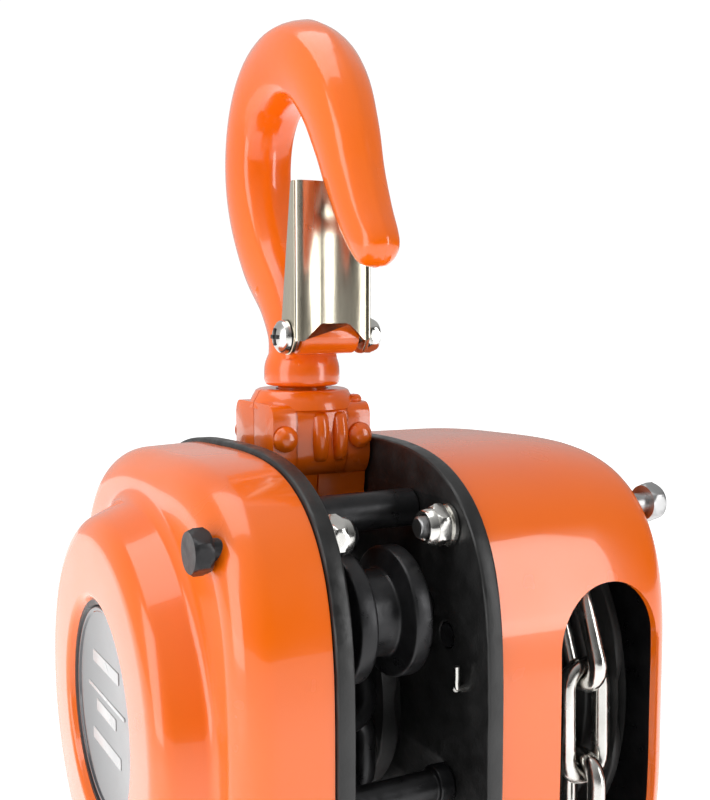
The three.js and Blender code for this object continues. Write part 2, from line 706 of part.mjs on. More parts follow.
function ratchetDisc() {
  const pitch = (2 * Math.PI) / RATCHET_TEETH;
  const first = (137 * Math.PI) / 180;
  const points = [];
  for (let i = 0; i < RATCHET_TEETH; i++) {
    for (const [radius, part] of [[RATCHET_ROOT, 0.02], [RATCHET_RADIUS, 0.98]]) {
      const angle = first + (i + part) * pitch;
      points.push([radius * Math.cos(angle), radius * Math.sin(angle)]);
    }
  }
  return cut(prismX(points, 30.6, 35.7), barX(13.4, 20, 50, 0, 0, 16));
}
add("ratchet_disc", ratchetDisc(), STEEL);

// The pawl, whose tip stands in a gap of the ratchet disc.
const PAWL_SHAPE = [[-27, 21.2], [-28.3, 26.2], [-49, 30], [-57, 27], [-57.5, 21], [-52, 18]];
const pawl = prismX(PAWL_SHAPE, 31, 35.4);
add("pawl", cut(pawl, barX(3.3, 20, 50, ...PAWL_PIN, 14)), STEEL);
add("pawl_pin", join(barX(3, 17.9, 38.4, ...PAWL_PIN, 14), barX(4.6, 36, 38.4, ...PAWL_PIN, 14)), ZINC);

// Half widths of the wheel's grooves, and their floors.
const HAND_LINK_ROOM = HAND_WIDTH / 2 + 0.7;
const HAND_SLOT_ROOM = HAND_WIRE / 2 + 0.7;
const HAND_FLOOR = HAND_PITCH_RADIUS - HAND_WIRE / 2 - 0.7;
const HAND_SLOT_FLOOR = HAND_PITCH_RADIUS - HAND_WIDTH / 2 - 0.7;
const RIM_HALF = 12;
const HAND_WHEEL_PROFILE = [
  [SEAT, 38.7],
  [27, 38.7],
  [27, 43],
  [14, 45],
  [14, 56],
  [HAND_SLOT_FLOOR - 3, 56],
  [HAND_SLOT_FLOOR - 3, HAND_WHEEL_X - RIM_HALF],
  [HAND_WHEEL_RADIUS, HAND_WHEEL_X - RIM_HALF],
  [HAND_WHEEL_RADIUS, HAND_WHEEL_X - HAND_LINK_ROOM],
  [HAND_FLOOR, HAND_WHEEL_X - HAND_LINK_ROOM],
  [HAND_FLOOR, HAND_WHEEL_X - HAND_SLOT_ROOM],
  [HAND_SLOT_FLOOR, HAND_WHEEL_X - HAND_SLOT_ROOM],
  [HAND_SLOT_FLOOR, HAND_WHEEL_X + HAND_SLOT_ROOM],
  [HAND_FLOOR, HAND_WHEEL_X + HAND_SLOT_ROOM],
  [HAND_FLOOR, HAND_WHEEL_X + HAND_LINK_ROOM],
  [HAND_WHEEL_RADIUS, HAND_WHEEL_X + HAND_LINK_ROOM],
  [HAND_WHEEL_RADIUS, HAND_WHEEL_X + RIM_HALF],
  [HAND_SLOT_FLOOR - 3, HAND_WHEEL_X + RIM_HALF],
  [HAND_SLOT_FLOOR - 3, 61],
  [14, 61],
  [14, 64],
  [SEAT, 64],
  [SEAT, 38.7],
];
add("hand_wheel", turnedX(HAND_WHEEL_PROFILE, 18), CAST);
add("hand_wheel_nut", cut(prismX(circle(10.5, 6), 64.3, 70.5), barX(SEAT, 60, 75, 0, 0, 20)), ZINC);

// ---- chains -------------------------------------------------------------------------------------------
// A chain is one closed bar of cross section: the flat links make its wide part, the upright ones its
// deep part.

// Points on an arc about (y, z), from angle a0 to a1 in degrees.
function arc(radius, a0, a1, y, z, steps) {
  return Array.from({ length: steps + 1 }, (_, i) => {
    const angle = ((a0 + ((a1 - a0) * i) / steps) * Math.PI) / 180;
    return [y + radius * Math.cos(angle), z + radius * Math.sin(angle)];
  });
}

function chainBar(path, wire, width, x, loop = false) {
  const [w, h] = [wire / 2, width / 2];
  const right = [[h, -w], [h, w], [w, w], [w, h]];
  const left = [[-w, h], [-w, w], [-h, w], [-h, -w], [-w, -w], [-w, -h]];
  const section = [...right, ...left, [w, -h], [w, -w]];
  const count = path.length;
  const at = (i) => path[loop ? (i + count) % count : Math.min(count - 1, Math.max(0, i))];
  const rings = path.map(([y, z], i) => {
    const [before, after] = [at(i - 1), at(i + 1)];
    const along = new THREE.Vector2(after[0] - before[0], after[1] - before[1]).normalize();
    return section.map(([deep, wide]) => [x + wide, y + along.y * deep, z - along.x * deep]);
  });
  return skin(rings, loop);
}

const handPath = [
  ...arc(HAND_PITCH_RADIUS, 0, 180, 0, 0, 12),
  ...arc(HAND_PITCH_RADIUS, 180, 360, 0, -HAND_DROP, 8),
];
add("hand_chain", chainBar(handPath, HAND_WIRE, HAND_WIDTH, HAND_WHEEL_X, true), ZINC);

const LOOP_Z = -82; // where the slack side turns back up to its anchor
const loopRadius = (ANCHOR[0] - SHEAVE_PITCH_RADIUS) / 2;
const loopY = SHEAVE_PITCH_RADIUS + loopRadius;
const loadPath = [
  [-SHEAVE_PITCH_RADIUS, 0],
  [-SHEAVE_PITCH_RADIUS, 4],
  ...arc(SHEAVE_PITCH_RADIUS, 156, 0, 0, 0, 7),
  ...arc(loopRadius, 180, 360, loopY, LOOP_Z, 6),
  [ANCHOR[0], ANCHOR[1] - 6],
];
const anchorLink = box(
  -CHAIN_WIRE / 2,
  CHAIN_WIRE / 2,
  ANCHOR[0] - 9,
  ANCHOR[0] + 9,
  ANCHOR[1] - 12,
  ANCHOR[1] + 8,
);
const loadChain = join(chainBar(loadPath, CHAIN_WIRE, CHAIN_WIDTH, 0), anchorLink);
add("load_chain", cut(loadChain, barX(3 + GAP, -20, 20, ...ANCHOR, 14)), OXIDE);
add("chain_anchor_pin", barX(3 - 0.02, -PLATE_OUT, PLATE_OUT, ...ANCHOR, 14), OXIDE);

const BOTTOM_PIN_RADIUS = 4.5;
const fallPath = [[-SHEAVE_PITCH_RADIUS, -GAP * 2], [-SHEAVE_PITCH_RADIUS, BOTTOM_PIN_Z + 11]];
const fall = join(
  chainBar(fallPath, CHAIN_WIRE, CHAIN_WIDTH, 0),
  box(
    -CHAIN_WIRE / 2,
    CHAIN_WIRE / 2,
    -SHEAVE_PITCH_RADIUS - 7,
    -SHEAVE_PITCH_RADIUS + 7,
    BOTTOM_PIN_Z - 7,
    BOTTOM_PIN_Z + 12,
  ),
);
const bottomPinHole = barX(BOTTOM_PIN_RADIUS + GAP, -20, 20, -SHEAVE_PITCH_RADIUS, BOTTOM_PIN_Z, 16);
add("load_chain_fall", cut(fall, bottomPinHole), OXIDE);

// ---- bottom hook block --------------------------------------------------------------------------------

const chainSlotInYoke = box(-CHAIN_WIRE / 2 - 0.6, CHAIN_WIRE / 2 + 0.6, -20, 20, -20, 10.4);
hookBlock(
  "bottom",
  0,
  -SHEAVE_PITCH_RADIUS,
  BOTTOM_PIN_Z - (SADDLE_Z - TOP_PIN_Z),
  BOTTOM_PIN_Z,
  BOTTOM_PIN_RADIUS,
  YOKE_HALF_WIDTH,
  false,
  chainSlotInYoke,
);
add(
  "bottom_yoke_pin",
  barX(
    BOTTOM_PIN_RADIUS,
    -YOKE_HALF_WIDTH + 0.5,
    YOKE_HALF_WIDTH - 0.5,
    -SHEAVE_PITCH_RADIUS,
    BOTTOM_PIN_Z,
    16,
  ),
  OXIDE,
);

// ---- export -------------------------------------------------------------------------------------------

export default hoist;
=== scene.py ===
import math

import bmesh
import bpy
from mathutils import Matrix, Vector


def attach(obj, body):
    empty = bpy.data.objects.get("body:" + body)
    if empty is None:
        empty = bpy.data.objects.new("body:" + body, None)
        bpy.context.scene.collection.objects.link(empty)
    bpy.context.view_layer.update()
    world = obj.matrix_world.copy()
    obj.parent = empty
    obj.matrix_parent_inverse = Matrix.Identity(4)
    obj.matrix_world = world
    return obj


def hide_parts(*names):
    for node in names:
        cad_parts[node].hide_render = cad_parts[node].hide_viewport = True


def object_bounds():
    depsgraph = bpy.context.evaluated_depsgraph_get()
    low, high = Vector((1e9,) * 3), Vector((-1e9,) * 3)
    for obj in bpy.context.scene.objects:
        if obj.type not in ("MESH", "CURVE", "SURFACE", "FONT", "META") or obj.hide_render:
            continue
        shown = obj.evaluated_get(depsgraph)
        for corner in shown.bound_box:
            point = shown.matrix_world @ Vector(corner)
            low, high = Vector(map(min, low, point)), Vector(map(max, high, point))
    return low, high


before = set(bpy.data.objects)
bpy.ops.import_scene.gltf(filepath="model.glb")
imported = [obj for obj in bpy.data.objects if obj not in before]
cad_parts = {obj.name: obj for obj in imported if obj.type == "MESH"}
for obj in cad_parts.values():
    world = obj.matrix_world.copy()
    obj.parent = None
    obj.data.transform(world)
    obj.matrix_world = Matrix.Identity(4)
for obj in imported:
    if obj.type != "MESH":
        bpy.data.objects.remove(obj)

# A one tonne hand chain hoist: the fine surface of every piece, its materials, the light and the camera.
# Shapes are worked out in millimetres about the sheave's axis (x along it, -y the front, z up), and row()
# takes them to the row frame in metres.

CAD_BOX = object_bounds()

# ---- driving dimensions: the CAD's, with the hexagons 0.1 mm smaller, and the links' widths ----
HOOK_X = 2.5
SADDLE_Z = 163.0
TOP_PIN_Z = 50.0
BOTTOM_PIN_Z = -92.0
BOTTOM_SADDLE_Z = BOTTOM_PIN_Z - (SADDLE_Z - TOP_PIN_Z)
BODY_HALF_FRONT = 71.0
BODY_HALF_REAR = 69.0
POWER_FRONT = 3.5
POWER_REAR = 2.8
PLATE_IN = 17.8
PLATE_OUT = 22.4
WHEEL_BOLTS = {"upper_front": (-52.5, 52.5), "upper_rear": (48.4, 48.4), "lower": (0.0, -62.9)}
GEAR_BOLTS = {"upper_front": (-52.5, 52.5), "upper_rear": (60.1, 16.1), "lower": (0.0, -62.9)}
ROLLER_Y = 42.1
ROLLER_Z = 29.5
LOAD_R = 29.3
LOAD_WIRE = 6.0
LOAD_PITCH = 18.0
HAND_X = 59.0
HAND_R = 56.2
HAND_WIRE = 5.0
HAND_PITCH = 25.0
HAND_DROP = 150.0
HAND_LINK_Z = -4.0
HAND_LINK_WIDTH = 16.6
LOAD_LINK_WIDTH = 19.6
ANCHOR = (54.0, -42.0)
PAWL_PIN = (-52.0, 24.0)
YOKE_HALF = 14.7
HEX_RADIUS = 5.5
GEAR_BOLT_SEAT = 45.7
WHEEL_BOLT_SEAT = 81.3


def row(point):
    x, y, z = point
    return Vector(((x - HOOK_X) / 1000, y / 1000, (z - SADDLE_Z) / 1000))


# ---- camera and light ----
FLOOR_SIZE = 8  # metres, as the gap is
FLOOR_GAP = 0.06  # the hoist hangs this far above the floor
CAMERA_AT = (-131.05, -282.59, 107.85)
CAMERA_YAW = math.radians(28.04)
CAMERA_PITCH = math.radians(-5.08)


def camera():
    data = bpy.data.cameras.new("camera")
    data.sensor_width = 36
    data.lens = 49.98
    data.clip_start = 0.01
    obj = bpy.data.objects.new("camera", data)
    bpy.context.scene.collection.objects.link(obj)
    obj.location = row(CAMERA_AT)
    obj.rotation_euler = (math.pi / 2 + CAMERA_PITCH, 0, -CAMERA_YAW)
    bpy.context.scene.camera = obj


def area_light(name, at, target, size, watts, color=(1, 1, 1)):
    data = bpy.data.lights.new(name, "AREA")
    data.shape = "RECTANGLE"
    data.size, data.size_y = size
    data.energy = watts
    data.color = color
    obj = bpy.data.objects.new(name, data)
    bpy.context.scene.collection.objects.link(obj)
    obj.location = at
    obj.rotation_euler = (Vector(target) - Vector(at)).to_track_quat("-Z", "Y").to_euler()


def lights():
    """A white studio: bright behind and above the hoist, dark on the front side."""
    scene = bpy.context.scene
    scene.view_settings.view_transform = "Standard"
    world = bpy.data.worlds.new("studio")
    scene.world = world
    world.use_nodes = True
    tree = world.node_tree
    white = tree.nodes["Background"]
    white.inputs["Color"].default_value = (1, 1, 1, 1)
    white.inputs["Strength"].default_value = 1.05
    room = tree.nodes.new("ShaderNodeBackground")
    coords = tree.nodes.new("ShaderNodeTexCoord")
    facing = tree.nodes.new("ShaderNodeVectorMath")
    facing.operation = "DOT_PRODUCT"
    facing.inputs[1].default_value = (-0.35, 0.55, 0.75)
    ramp = tree.nodes.new("ShaderNodeMapRange")
    ramp.inputs["From Min"].default_value = -0.45
    ramp.inputs["From Max"].default_value = 0.55
    ramp.inputs["To Min"].default_value = 0.03
    ramp.inputs["To Max"].default_value = 0.75
    path = tree.nodes.new("ShaderNodeLightPath")
    mix = tree.nodes.new("ShaderNodeMixShader")
    tree.links.new(coords.outputs["Generated"], facing.inputs[0])
    tree.links.new(facing.outputs["Value"], ramp.inputs["Value"])
    tree.links.new(ramp.outputs["Result"], room.inputs["Strength"])
    tree.links.new(path.outputs["Is Camera Ray"], mix.inputs["Fac"])
    tree.links.new(room.outputs["Background"], mix.inputs[1])
    tree.links.new(white.outputs["Background"], mix.inputs[2])
    tree.links.new(mix.outputs["Shader"], tree.nodes["World Output"].inputs["Surface"])
    middle = (0.0, 0.0, -0.12)
    area_light("softbox_top", (-0.25, 0.1, 0.8), middle, (0.8, 0.8), 4.5)
    area_light("softbox_left", (-0.95, -0.15, 0.1), middle, (0.5, 0.9), 4)
    area_light("softbox_right", (0.65, -0.85, 0.1), middle, (0.3, 0.8), 4)


def floor():
    bpy.ops.mesh.primitive_plane_add(size=FLOOR_SIZE, location=(0, 0, CAD_BOX[0][2] - FLOOR_GAP))
    plane = bpy.context.object
    plane.name = "floor"
    material = bpy.data.materials.new("floor")
    material.use_nodes = True
    shader = material.node_tree.nodes["Principled BSDF"]
    shader.inputs["Base Color"].default_value = (0.93, 0.93, 0.93, 1)
    shader.inputs["Roughness"].default_value = 0.9
    shader.inputs["Emission Color"].default_value = (1, 1, 1, 1)
    shader.inputs["Emission Strength"].default_value = 0.8
    plane.data.materials.append(material)


camera()
lights()
floor()


# ---- materials ----
class Nodes:
    """Short names for building one material."""

    def __init__(self, name):
        self.material = bpy.data.materials.new(name)
        self.material.use_nodes = True
        self.tree = self.material.node_tree
        self.shader = self.tree.nodes["Principled BSDF"]
        self.coords = self.tree.nodes.new("ShaderNodeTexCoord")

    def set(self, **values):
        for key, value in values.items():
            self.shader.inputs[key.replace("_", " ")].default_value = value

    def noise(self, scale, detail=3.0, stretch=(1, 1, 1)):
        mapping = self.tree.nodes.new("ShaderNodeMapping")
        mapping.inputs["Scale"].default_value = stretch
        self.tree.links.new(self.coords.outputs["Object"], mapping.inputs["Vector"])
        node = self.tree.nodes.new("ShaderNodeTexNoise")
        node.inputs["Scale"].default_value = scale
        node.inputs["Detail"].default_value = detail
        self.tree.links.new(mapping.outputs["Vector"], node.inputs["Vector"])
        return node.outputs["Fac"]

    def ramp(self, source, stops):
        node = self.tree.nodes.new("ShaderNodeValToRGB")
        elements = node.color_ramp.elements
        while len(elements) < len(stops):
            elements.new(0.5)
        for element, (place, color) in zip(elements, stops):
            element.position = place
            element.color = (*color, 1) if len(color) == 3 else color
        self.tree.links.new(source, node.inputs["Fac"])
        return node.outputs["Color"]

    def colour(self, source, stops):
        self.tree.links.new(self.ramp(source, stops), self.shader.inputs["Base Color"])

    def rough(self, source, low, high):
        stops = [(0.3, (low, low, low)), (0.7, (high, high, high))]
        self.tree.links.new(self.ramp(source, stops), self.shader.inputs["Roughness"])

    def bump(self, source, strength, distance=0.0004):
        node = self.tree.nodes.new("ShaderNodeBump")
        node.inputs["Strength"].default_value = strength
        node.inputs["Distance"].default_value = distance
        self.tree.links.new(source, node.inputs["Height"])
        self.tree.links.new(node.outputs["Normal"], self.shader.inputs["Normal"])


def enamel(name, orange_peel):
    n = Nodes(name)
    n.colour(n.noise(14), [(0.35, (0.82, 0.125, 0.001)), (0.65, (0.86, 0.145, 0.002))])
    n.rough(n.noise(60), 0.2, 0.28)
    n.set(Coat_Weight=0.6, Coat_Roughness=0.04, IOR=1.5)
    n.bump(n.noise(180, 2), orange_peel)
    return n.material


def steel(name, dark, light, rough, metallic=1.0, scale=300, strength=0.08, stretch=(1, 1, 1)):
    n = Nodes(name)
    n.colour(n.noise(scale / 4, 5, stretch), [(0.3, dark), (0.7, light)])
    n.rough(n.noise(scale / 2, 4, stretch), *rough)
    n.set(Metallic=metallic)
    n.bump(n.noise(scale, 4, stretch), strength)
    return n.material


def nameplate_material():
    n = Nodes("nameplate")
    n.colour(n.noise(40), [(0.3, (0.035, 0.035, 0.04)), (0.7, (0.05, 0.05, 0.055))])
    n.rough(n.noise(90), 0.12, 0.2)
    n.set(Coat_Weight=0.5, Coat_Roughness=0.05)
    return n.material


ENAMEL = enamel("orange_enamel", 0.05)
FORGED = enamel("orange_enamel_on_forging", 0.35)
PLATE_BLACK = steel("black_plate", (0.009, 0.009, 0.009), (0.018, 0.018, 0.018), (0.28, 0.5), 0.1, 420, 0.3)
OXIDE = steel("black_oxide", (0.012, 0.012, 0.013), (0.03, 0.03, 0.032), (0.25, 0.45), 0.5, 500, 0.2)
ZINC = steel("bright_zinc", (0.5, 0.49, 0.46), (0.72, 0.71, 0.68), (0.12, 0.3), 1.0, 380, 0.12)
LATCH_PLATED = steel(
    "plated_latch", (0.55, 0.49, 0.37), (0.78, 0.73, 0.6), (0.14, 0.3), 1.0, 260, 0.1, (1, 1, 0.15)
)
MACHINED = steel(
    "machined_steel", (0.3, 0.3, 0.3), (0.48, 0.48, 0.48), (0.25, 0.4), 1.0, 420, 0.12, (1, 0.2, 0.2)
)
CAST = steel("cast_iron", (0.02, 0.02, 0.02), (0.05, 0.05, 0.05), (0.45, 0.7), 0.4, 300, 0.5)
LINING = steel("brake_lining", (0.07, 0.045, 0.03), (0.14, 0.1, 0.07), (0.8, 0.95), 0.0, 600, 0.5)
NAMEPLATE = nameplate_material()
PLATE_PRINT = steel("nameplate_print", (0.5, 0.5, 0.5), (0.6, 0.6, 0.6), (0.25, 0.35), 0.0, 300, 0.05)


# ---- mesh building ----
def piece(name, vertices, faces, material, body, slot, replaced=(), sharp=35, bevel=0.0, lining=None):
    """A mesh piece from points in millimetres, smooth except at edges sharper than the given angle.

    lining is a second material and the number of the first face that it covers."""
    mesh = bpy.data.meshes.new(name)
    mesh.from_pydata([row(v) for v in vertices], [], faces)
    mesh.materials.append(material)
    if lining:
        mesh.materials.append(lining[0])
        for polygon in mesh.polygons:
            polygon.material_index = int(polygon.index >= lining[1])
    return finish_piece(name, mesh, body, replaced, sharp, bevel)


def finish_piece(name, mesh, body, replaced=(), sharp=35, bevel=0.0):
    work = bmesh.new()
    work.from_mesh(mesh)
    bmesh.ops.remove_doubles(work, verts=work.verts, dist=2e-6)
    bmesh.ops.dissolve_degenerate(work, edges=work.edges, dist=1e-6)
    bmesh.ops.recalc_face_normals(work, faces=work.faces)
    work.to_mesh(mesh)
    work.free()
    mesh.shade_smooth()
    mesh.set_sharp_from_angle(angle=math.radians(sharp))
    obj = bpy.data.objects.new(name, mesh)
    bpy.context.scene.collection.objects.link(obj)
    if bevel:
        modifier = obj.modifiers.new("edge", "BEVEL")
        modifier.width = bevel / 1000
        modifier.segments = 3
        modifier.limit_method = "ANGLE"
        modifier.angle_limit = math.radians(40)
        modifier.harden_normals = True
    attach(obj, body)
    if replaced:
        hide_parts(*replaced)
    return obj


class Soup:
    """Points and faces of several closed shapes that make one piece."""

    def __init__(self):
        self.vertices = []
        self.faces = []

    def add(self, vertices, faces):
        start = len(self.vertices)
        self.vertices += vertices
        self.faces += [tuple(start + i for i in face) for face in faces]
        return self

    def moved(self, matrix):
        self.vertices = [tuple(matrix @ Vector(v)) for v in self.vertices]
        return self

    def make(self, name, *args, **kw):
        return piece(name, self.vertices, self.faces, *args, **kw)


def loft(rings, loop=False):
    """A skin over rings of points. Its ends are closed, or joined to each other when it is a loop."""
    count = len(rings[0])
    vertices = [tuple(p) for ring in rings for p in ring]
    faces = []
    for r in range(len(rings) - (0 if loop else 1)):
        s = (r + 1) % len(rings)
        for i in range(count):
            j = (i + 1) % count
            faces.append((r * count + i, r * count + j, s * count + j, s * count + i))
    if not loop:
        faces.append(tuple(range(count)))
        faces.append(tuple(reversed(range((len(rings) - 1) * count, len(rings) * count))))
    return vertices, faces


def fillet(points, radius, steps=4, closed=False):
    """The outline with each corner rounded. radius is one number, or one for each point."""
    out = []
    count = len(points)
    for i, p in enumerate(points):
        r = radius[i] if isinstance(radius, (list, tuple)) else radius
        if (not closed and i in (0, count - 1)) or r <= 0:
            out.append(tuple(p))
            continue
        here = Vector(p)
        a = Vector(points[i - 1]) - here
        b = Vector(points[(i + 1) % count]) - here
        reach = min(r, a.length * 0.49, b.length * 0.49)
        start = here + a.normalized() * reach
        end = here + b.normalized() * reach
        for k in range(steps + 1):
            t = k / steps
            out.append(tuple(start * (1 - t) ** 2 + here * 2 * t * (1 - t) + end * t * t))
    return out


def lathe(profile, sides=64, axis="x", wobble=None):
    """A profile of (radius, along) points turned about an axis. It closes on itself or ends on the axis."""
    closed = profile[0] == profile[-1]
    points = profile[:-1] if closed else profile
    rings = []
    for radius, along in points:
        ring = []
        for i in range(sides):
            angle = 2 * math.pi * i / sides
            r = max(radius, 1e-3) + (wobble(radius, along, angle) if wobble else 0)
            u, v = r * math.cos(angle), r * math.sin(angle)
            ring.append({"x": (along, u, v), "y": (v, along, u), "z": (u, v, along)}[axis])
        rings.append(ring)
    return loft(rings, loop=closed)


def at(shape, x=0.0, y=0.0, z=0.0):
    vertices, faces = shape
    return [(vx + x, vy + y, vz + z) for vx, vy, vz in vertices], faces


def circle(radius, count=48, y=0.0, z=0.0, phase=0.0):
    turn = 2 * math.pi / count
    angles = [(i + phase) * turn for i in range(count)]
    return [(y + radius * math.cos(angle), z + radius * math.sin(angle)) for angle in angles]


def sheet_x(outlines, x0, x1, bevel=0.3):
    """A flat plate across x: the first outline of (y, z) with the others cut out of it, its edges rounded."""
    curve = bpy.data.curves.new("outline", "CURVE")
    curve.dimensions = "2D"
    curve.fill_mode = "BOTH"
    curve.extrude = (x1 - x0) / 2 - bevel
    curve.bevel_depth = bevel
    curve.bevel_resolution = 2
    curve.offset = -bevel
    for outline in outlines:
        spline = curve.splines.new("POLY")
        spline.points.add(len(outline) - 1)
        for point, (y, z) in zip(spline.points, outline):
            point.co = (y, z, 0, 1)
        spline.use_cyclic_u = True
    obj = bpy.data.objects.new("outline", curve)
    bpy.context.scene.collection.objects.link(obj)
    bpy.context.view_layer.update()
    made = bpy.data.meshes.new_from_object(obj.evaluated_get(bpy.context.evaluated_depsgraph_get()))
    middle = (x0 + x1) / 2
    vertices = [(middle + v.co.z, v.co.x, v.co.y) for v in made.vertices]
    faces = [tuple(p.vertices) for p in made.polygons]
    bpy.data.objects.remove(obj)
    bpy.data.curves.remove(curve)
    bpy.data.meshes.remove(made)
    return vertices, faces


def spline_points(knots, steps):
    """Catmull-Rom points through knots of any length of tuple."""
    out = []
    last = len(knots) - 1
    for i in range(last):
        p0, p1, p2, p3 = (knots[min(last, max(0, i + k))] for k in (-1, 0, 1, 2))
        for s in range(steps):
            t = s / steps
            point = []
            for a, b, c, d in zip(p0, p1, p2, p3):
                square = 2 * a - 5 * b + 4 * c - d
                cube = 3 * b - a - 3 * c + d
                point.append(0.5 * (2 * b + (c - a) * t + square * t**2 + cube * t**3))
            out.append(tuple(point))
    out.append(tuple(knots[-1]))
    return out


def tube(path, radius, sides=12, loop=False):
    """A round wire along points."""
    points = [Vector(p) for p in path]
    count = len(points)
    rings = []
    normal = None
    for i, p in enumerate(points):
        before = points[(i - 1) % count] if loop or i else p
        after = points[(i + 1) % count] if loop or i < count - 1 else p
        along = (after - before).normalized()
        if normal is None:
            normal = along.orthogonal().normalized()
            if loop:
                centre = sum(points, Vector()) / count
                normal = (p - centre).cross(along).normalized()
        normal = (normal - along * normal.dot(along)).normalized()
        side = along.cross(normal)
        rings.append(
            [
                tuple(p + (normal * math.cos(a) + side * math.sin(a)) * radius)
                for a in (2 * math.pi * k / sides for k in range(sides))
            ]
        )
    return loft(rings, loop)


# ---- hooks ----
# Middle line of a hook from the neck to the tip: y, z from the saddle, half width in the plane and half
# thickness.
HOOK_LINE = [
    (0, -72, 9.3, 9.3),
    (2, -64, 8.2, 8.6),
    (9.5, -54, 8.6, 8.2),
    (20.5, -43, 9.8, 8.4),
    (28.5, -29, 10.6, 8.8),
    (31, -16, 11, 9),
    (28, -3, 11, 9.2),
    (19.5, 6.5, 11, 9.4),
    (5, 10.8, 10.8, 9.4),
    (-9, 8, 10.4, 9.2),
    (-20, -1, 9.8, 8.8),
    (-27, -12.5, 8.8, 8),
    (-32, -24, 7.6, 7.2),
    (-37.5, -34, 6.6, 6.6),
    (-42.6, -41, 5.7, 5.9),
    (-44.6, -43.8, 4.6, 4.8),
    (-45.6, -45.1, 2.6, 2.8),
    (-46, -45.6, 0.4, 0.4),
]
# Small forged lugs on the back of the bowl and beside the tip: y, z, x, radius.
HOOK_LUGS = [
    (39.5, -29, -2, 3.2),
    (-29.5, -34.5, 4.5, 2.6),
    (12.6, -52, -6, 2.6),
    (41.4, -7, 0, 2.2),
]
COLLAR_Z = -78.5
NECK_RADIUS = 6.8
LATCH_Y = -14.0
LATCH_Z = -64.5


def hook_rings(sides=40, steps=6):
    line = spline_points(HOOK_LINE, steps)
    rings = []
    for i, (y, z, width, thickness) in enumerate(line):
        before, after = line[max(0, i - 1)], line[min(len(line) - 1, i + 1)]
        along = Vector((0, after[0] - before[0], after[1] - before[1])).normalized()
        across = Vector((0, -along.z, along.y))
        ring = []
        for k in range(sides):
            angle = 2 * math.pi * k / sides
            c, s = math.cos(angle), math.sin(angle)
            # the bowl's section is flatter outside than inside, and a parting line runs round the middle
            fat = 1 / max(abs(c), abs(s)) ** (0.34 if c > 0 else 0.2)
            parting = 0.25 * math.exp(-((s / 0.1) ** 2))
            ring.append(
                (
                    thickness * s * fat,
                    y + across.y * (width * c * fat + math.copysign(parting, c)),
                    z + across.z * (width * c * fat + math.copysign(parting, c)),
                )
            )
        rings.append(ring)
    return rings


def hook_shape():
    soup = Soup()
    soup.add(*loft(hook_rings()))
    shank = [(0, -62), (7.6, -64), (9, -69), (10.6, -72.6), (10.6, COLLAR_Z), (NECK_RADIUS, COLLAR_Z)]
    shank += [(NECK_RADIUS, -94), (10.5, -94), (10.5, -100), (0, -100)]
    soup.add(*lathe(fillet(shank, [0, 0, 3, 2, 1.6, 0.8, 0, 0.6, 0.6, 0]), 64, "z"))
    boss = [(0, -8.6), (4.8, -8.6), (4.8, 8.6), (0, 8.6)]
    soup.add(*at(lathe(fillet(boss, 1.0), 32), 0, LATCH_Y, LATCH_Z))
    web = [(-14, -69.3), (2, -70.5), (2, -58), (-9, -57.5), (-14, -60)]
    soup.add(*sheet_x([web], -6.6, 6.6, 2.2))
    for y, z, x, radius in HOOK_LUGS:
        ball = [(radius * math.sin(a), radius * math.cos(a)) for a in (math.pi * k / 10 for k in range(11))]
        soup.add(*at(lathe(ball, 20, "z"), x, y, z))
    return soup


def place_block(soup, standing, x, y, z):
    turn = Matrix.Identity(4) if standing else Matrix.Rotation(math.pi, 4, "Y")
    return soup.moved(Matrix.Translation((x, y, z)) @ turn)


LATCH_HALF = 11.3
LATCH_SHEET = 1.2
ARCH_HEIGHT = 5.2
ARCH_HALF = 7.5


def latch_shape():
    """A pressed channel: a flat web with a shallow rib, folded ears, and an arch cut in its lower edge."""
    soup = Soup()
    half, thick, bend = LATCH_HALF, LATCH_SHEET, 2.4
    front, back, low, high = -20.6, -9.6, -66.0, -24.0
    ear = [(front + 1, low + 1), (front + 3.6, -69.4), (-11.5, -69.2), (back, -64.5), (-11.3, -60)]
    ear += [(-17.2, high), (front + 1, high)]
    ear = fillet(ear, [0.3, 2, 3, 3, 3, 0.8, 0.3], 4, True)
    bolt = circle(2.3, 24, LATCH_Y, LATCH_Z)
    for x0 in (-half, half - thick):
        soup.add(*sheet_x([ear, bolt], x0, x0 + thick, 0.25))
    # web, swept from one ear round both bends to the other, with its lower edge arched
    section = []
    for k in range(7):
        a = math.pi / 2 * k / 6
        section.append((-half + bend - bend * math.cos(a), front + bend - bend * math.sin(a)))
    bend_points = list(section)
    section += [(-4.6, front), (-3.6, front + 0.5), (3.6, front + 0.5), (4.6, front)]
    section += [(-x, y) for x, y in reversed(bend_points)]

    def arch(x):
        return ARCH_HEIGHT * max(0.0, 1 - (x / ARCH_HALF) ** 2) ** 0.5

    ring_low = [(x, y, low + 0.5 + arch(x)) for x, y in section]
    ring_high = [(x, y, high) for x, y in section]

    def inside(points):
        shifted = []
        for i, (x, y, z) in enumerate(points):
            a, b = points[max(0, i - 1)], points[min(len(points) - 1, i + 1)]
            along = Vector((b[0] - a[0], b[1] - a[1], 0)).normalized()
            shifted.append((x - along.y * thick, y + along.x * thick, z))
        return shifted

    rings = [
        ring_low + list(reversed(inside(ring_low))),
        ring_high + list(reversed(inside(ring_high))),
    ]
    soup.add(*loft(rings))
    return soup


def pan_head_bolt():
    soup = Soup()
    head = fillet([(0, -14.6), (2.4, -14.4), (4.4, -12.9), (4.6, -11.6), (0, -11.6)], [0, 1, 1, 0, 0])
    soup.add(*at(lathe(head, 40), 0, LATCH_Y, LATCH_Z))
    shank = [(0, -11.7), (2.1, -11.7), (2.1, 15.5), (1.6, 15.8), (0, 15.8)]
    soup.add(*at(lathe(shank, 32), 0, LATCH_Y, LATCH_Z))
    return soup


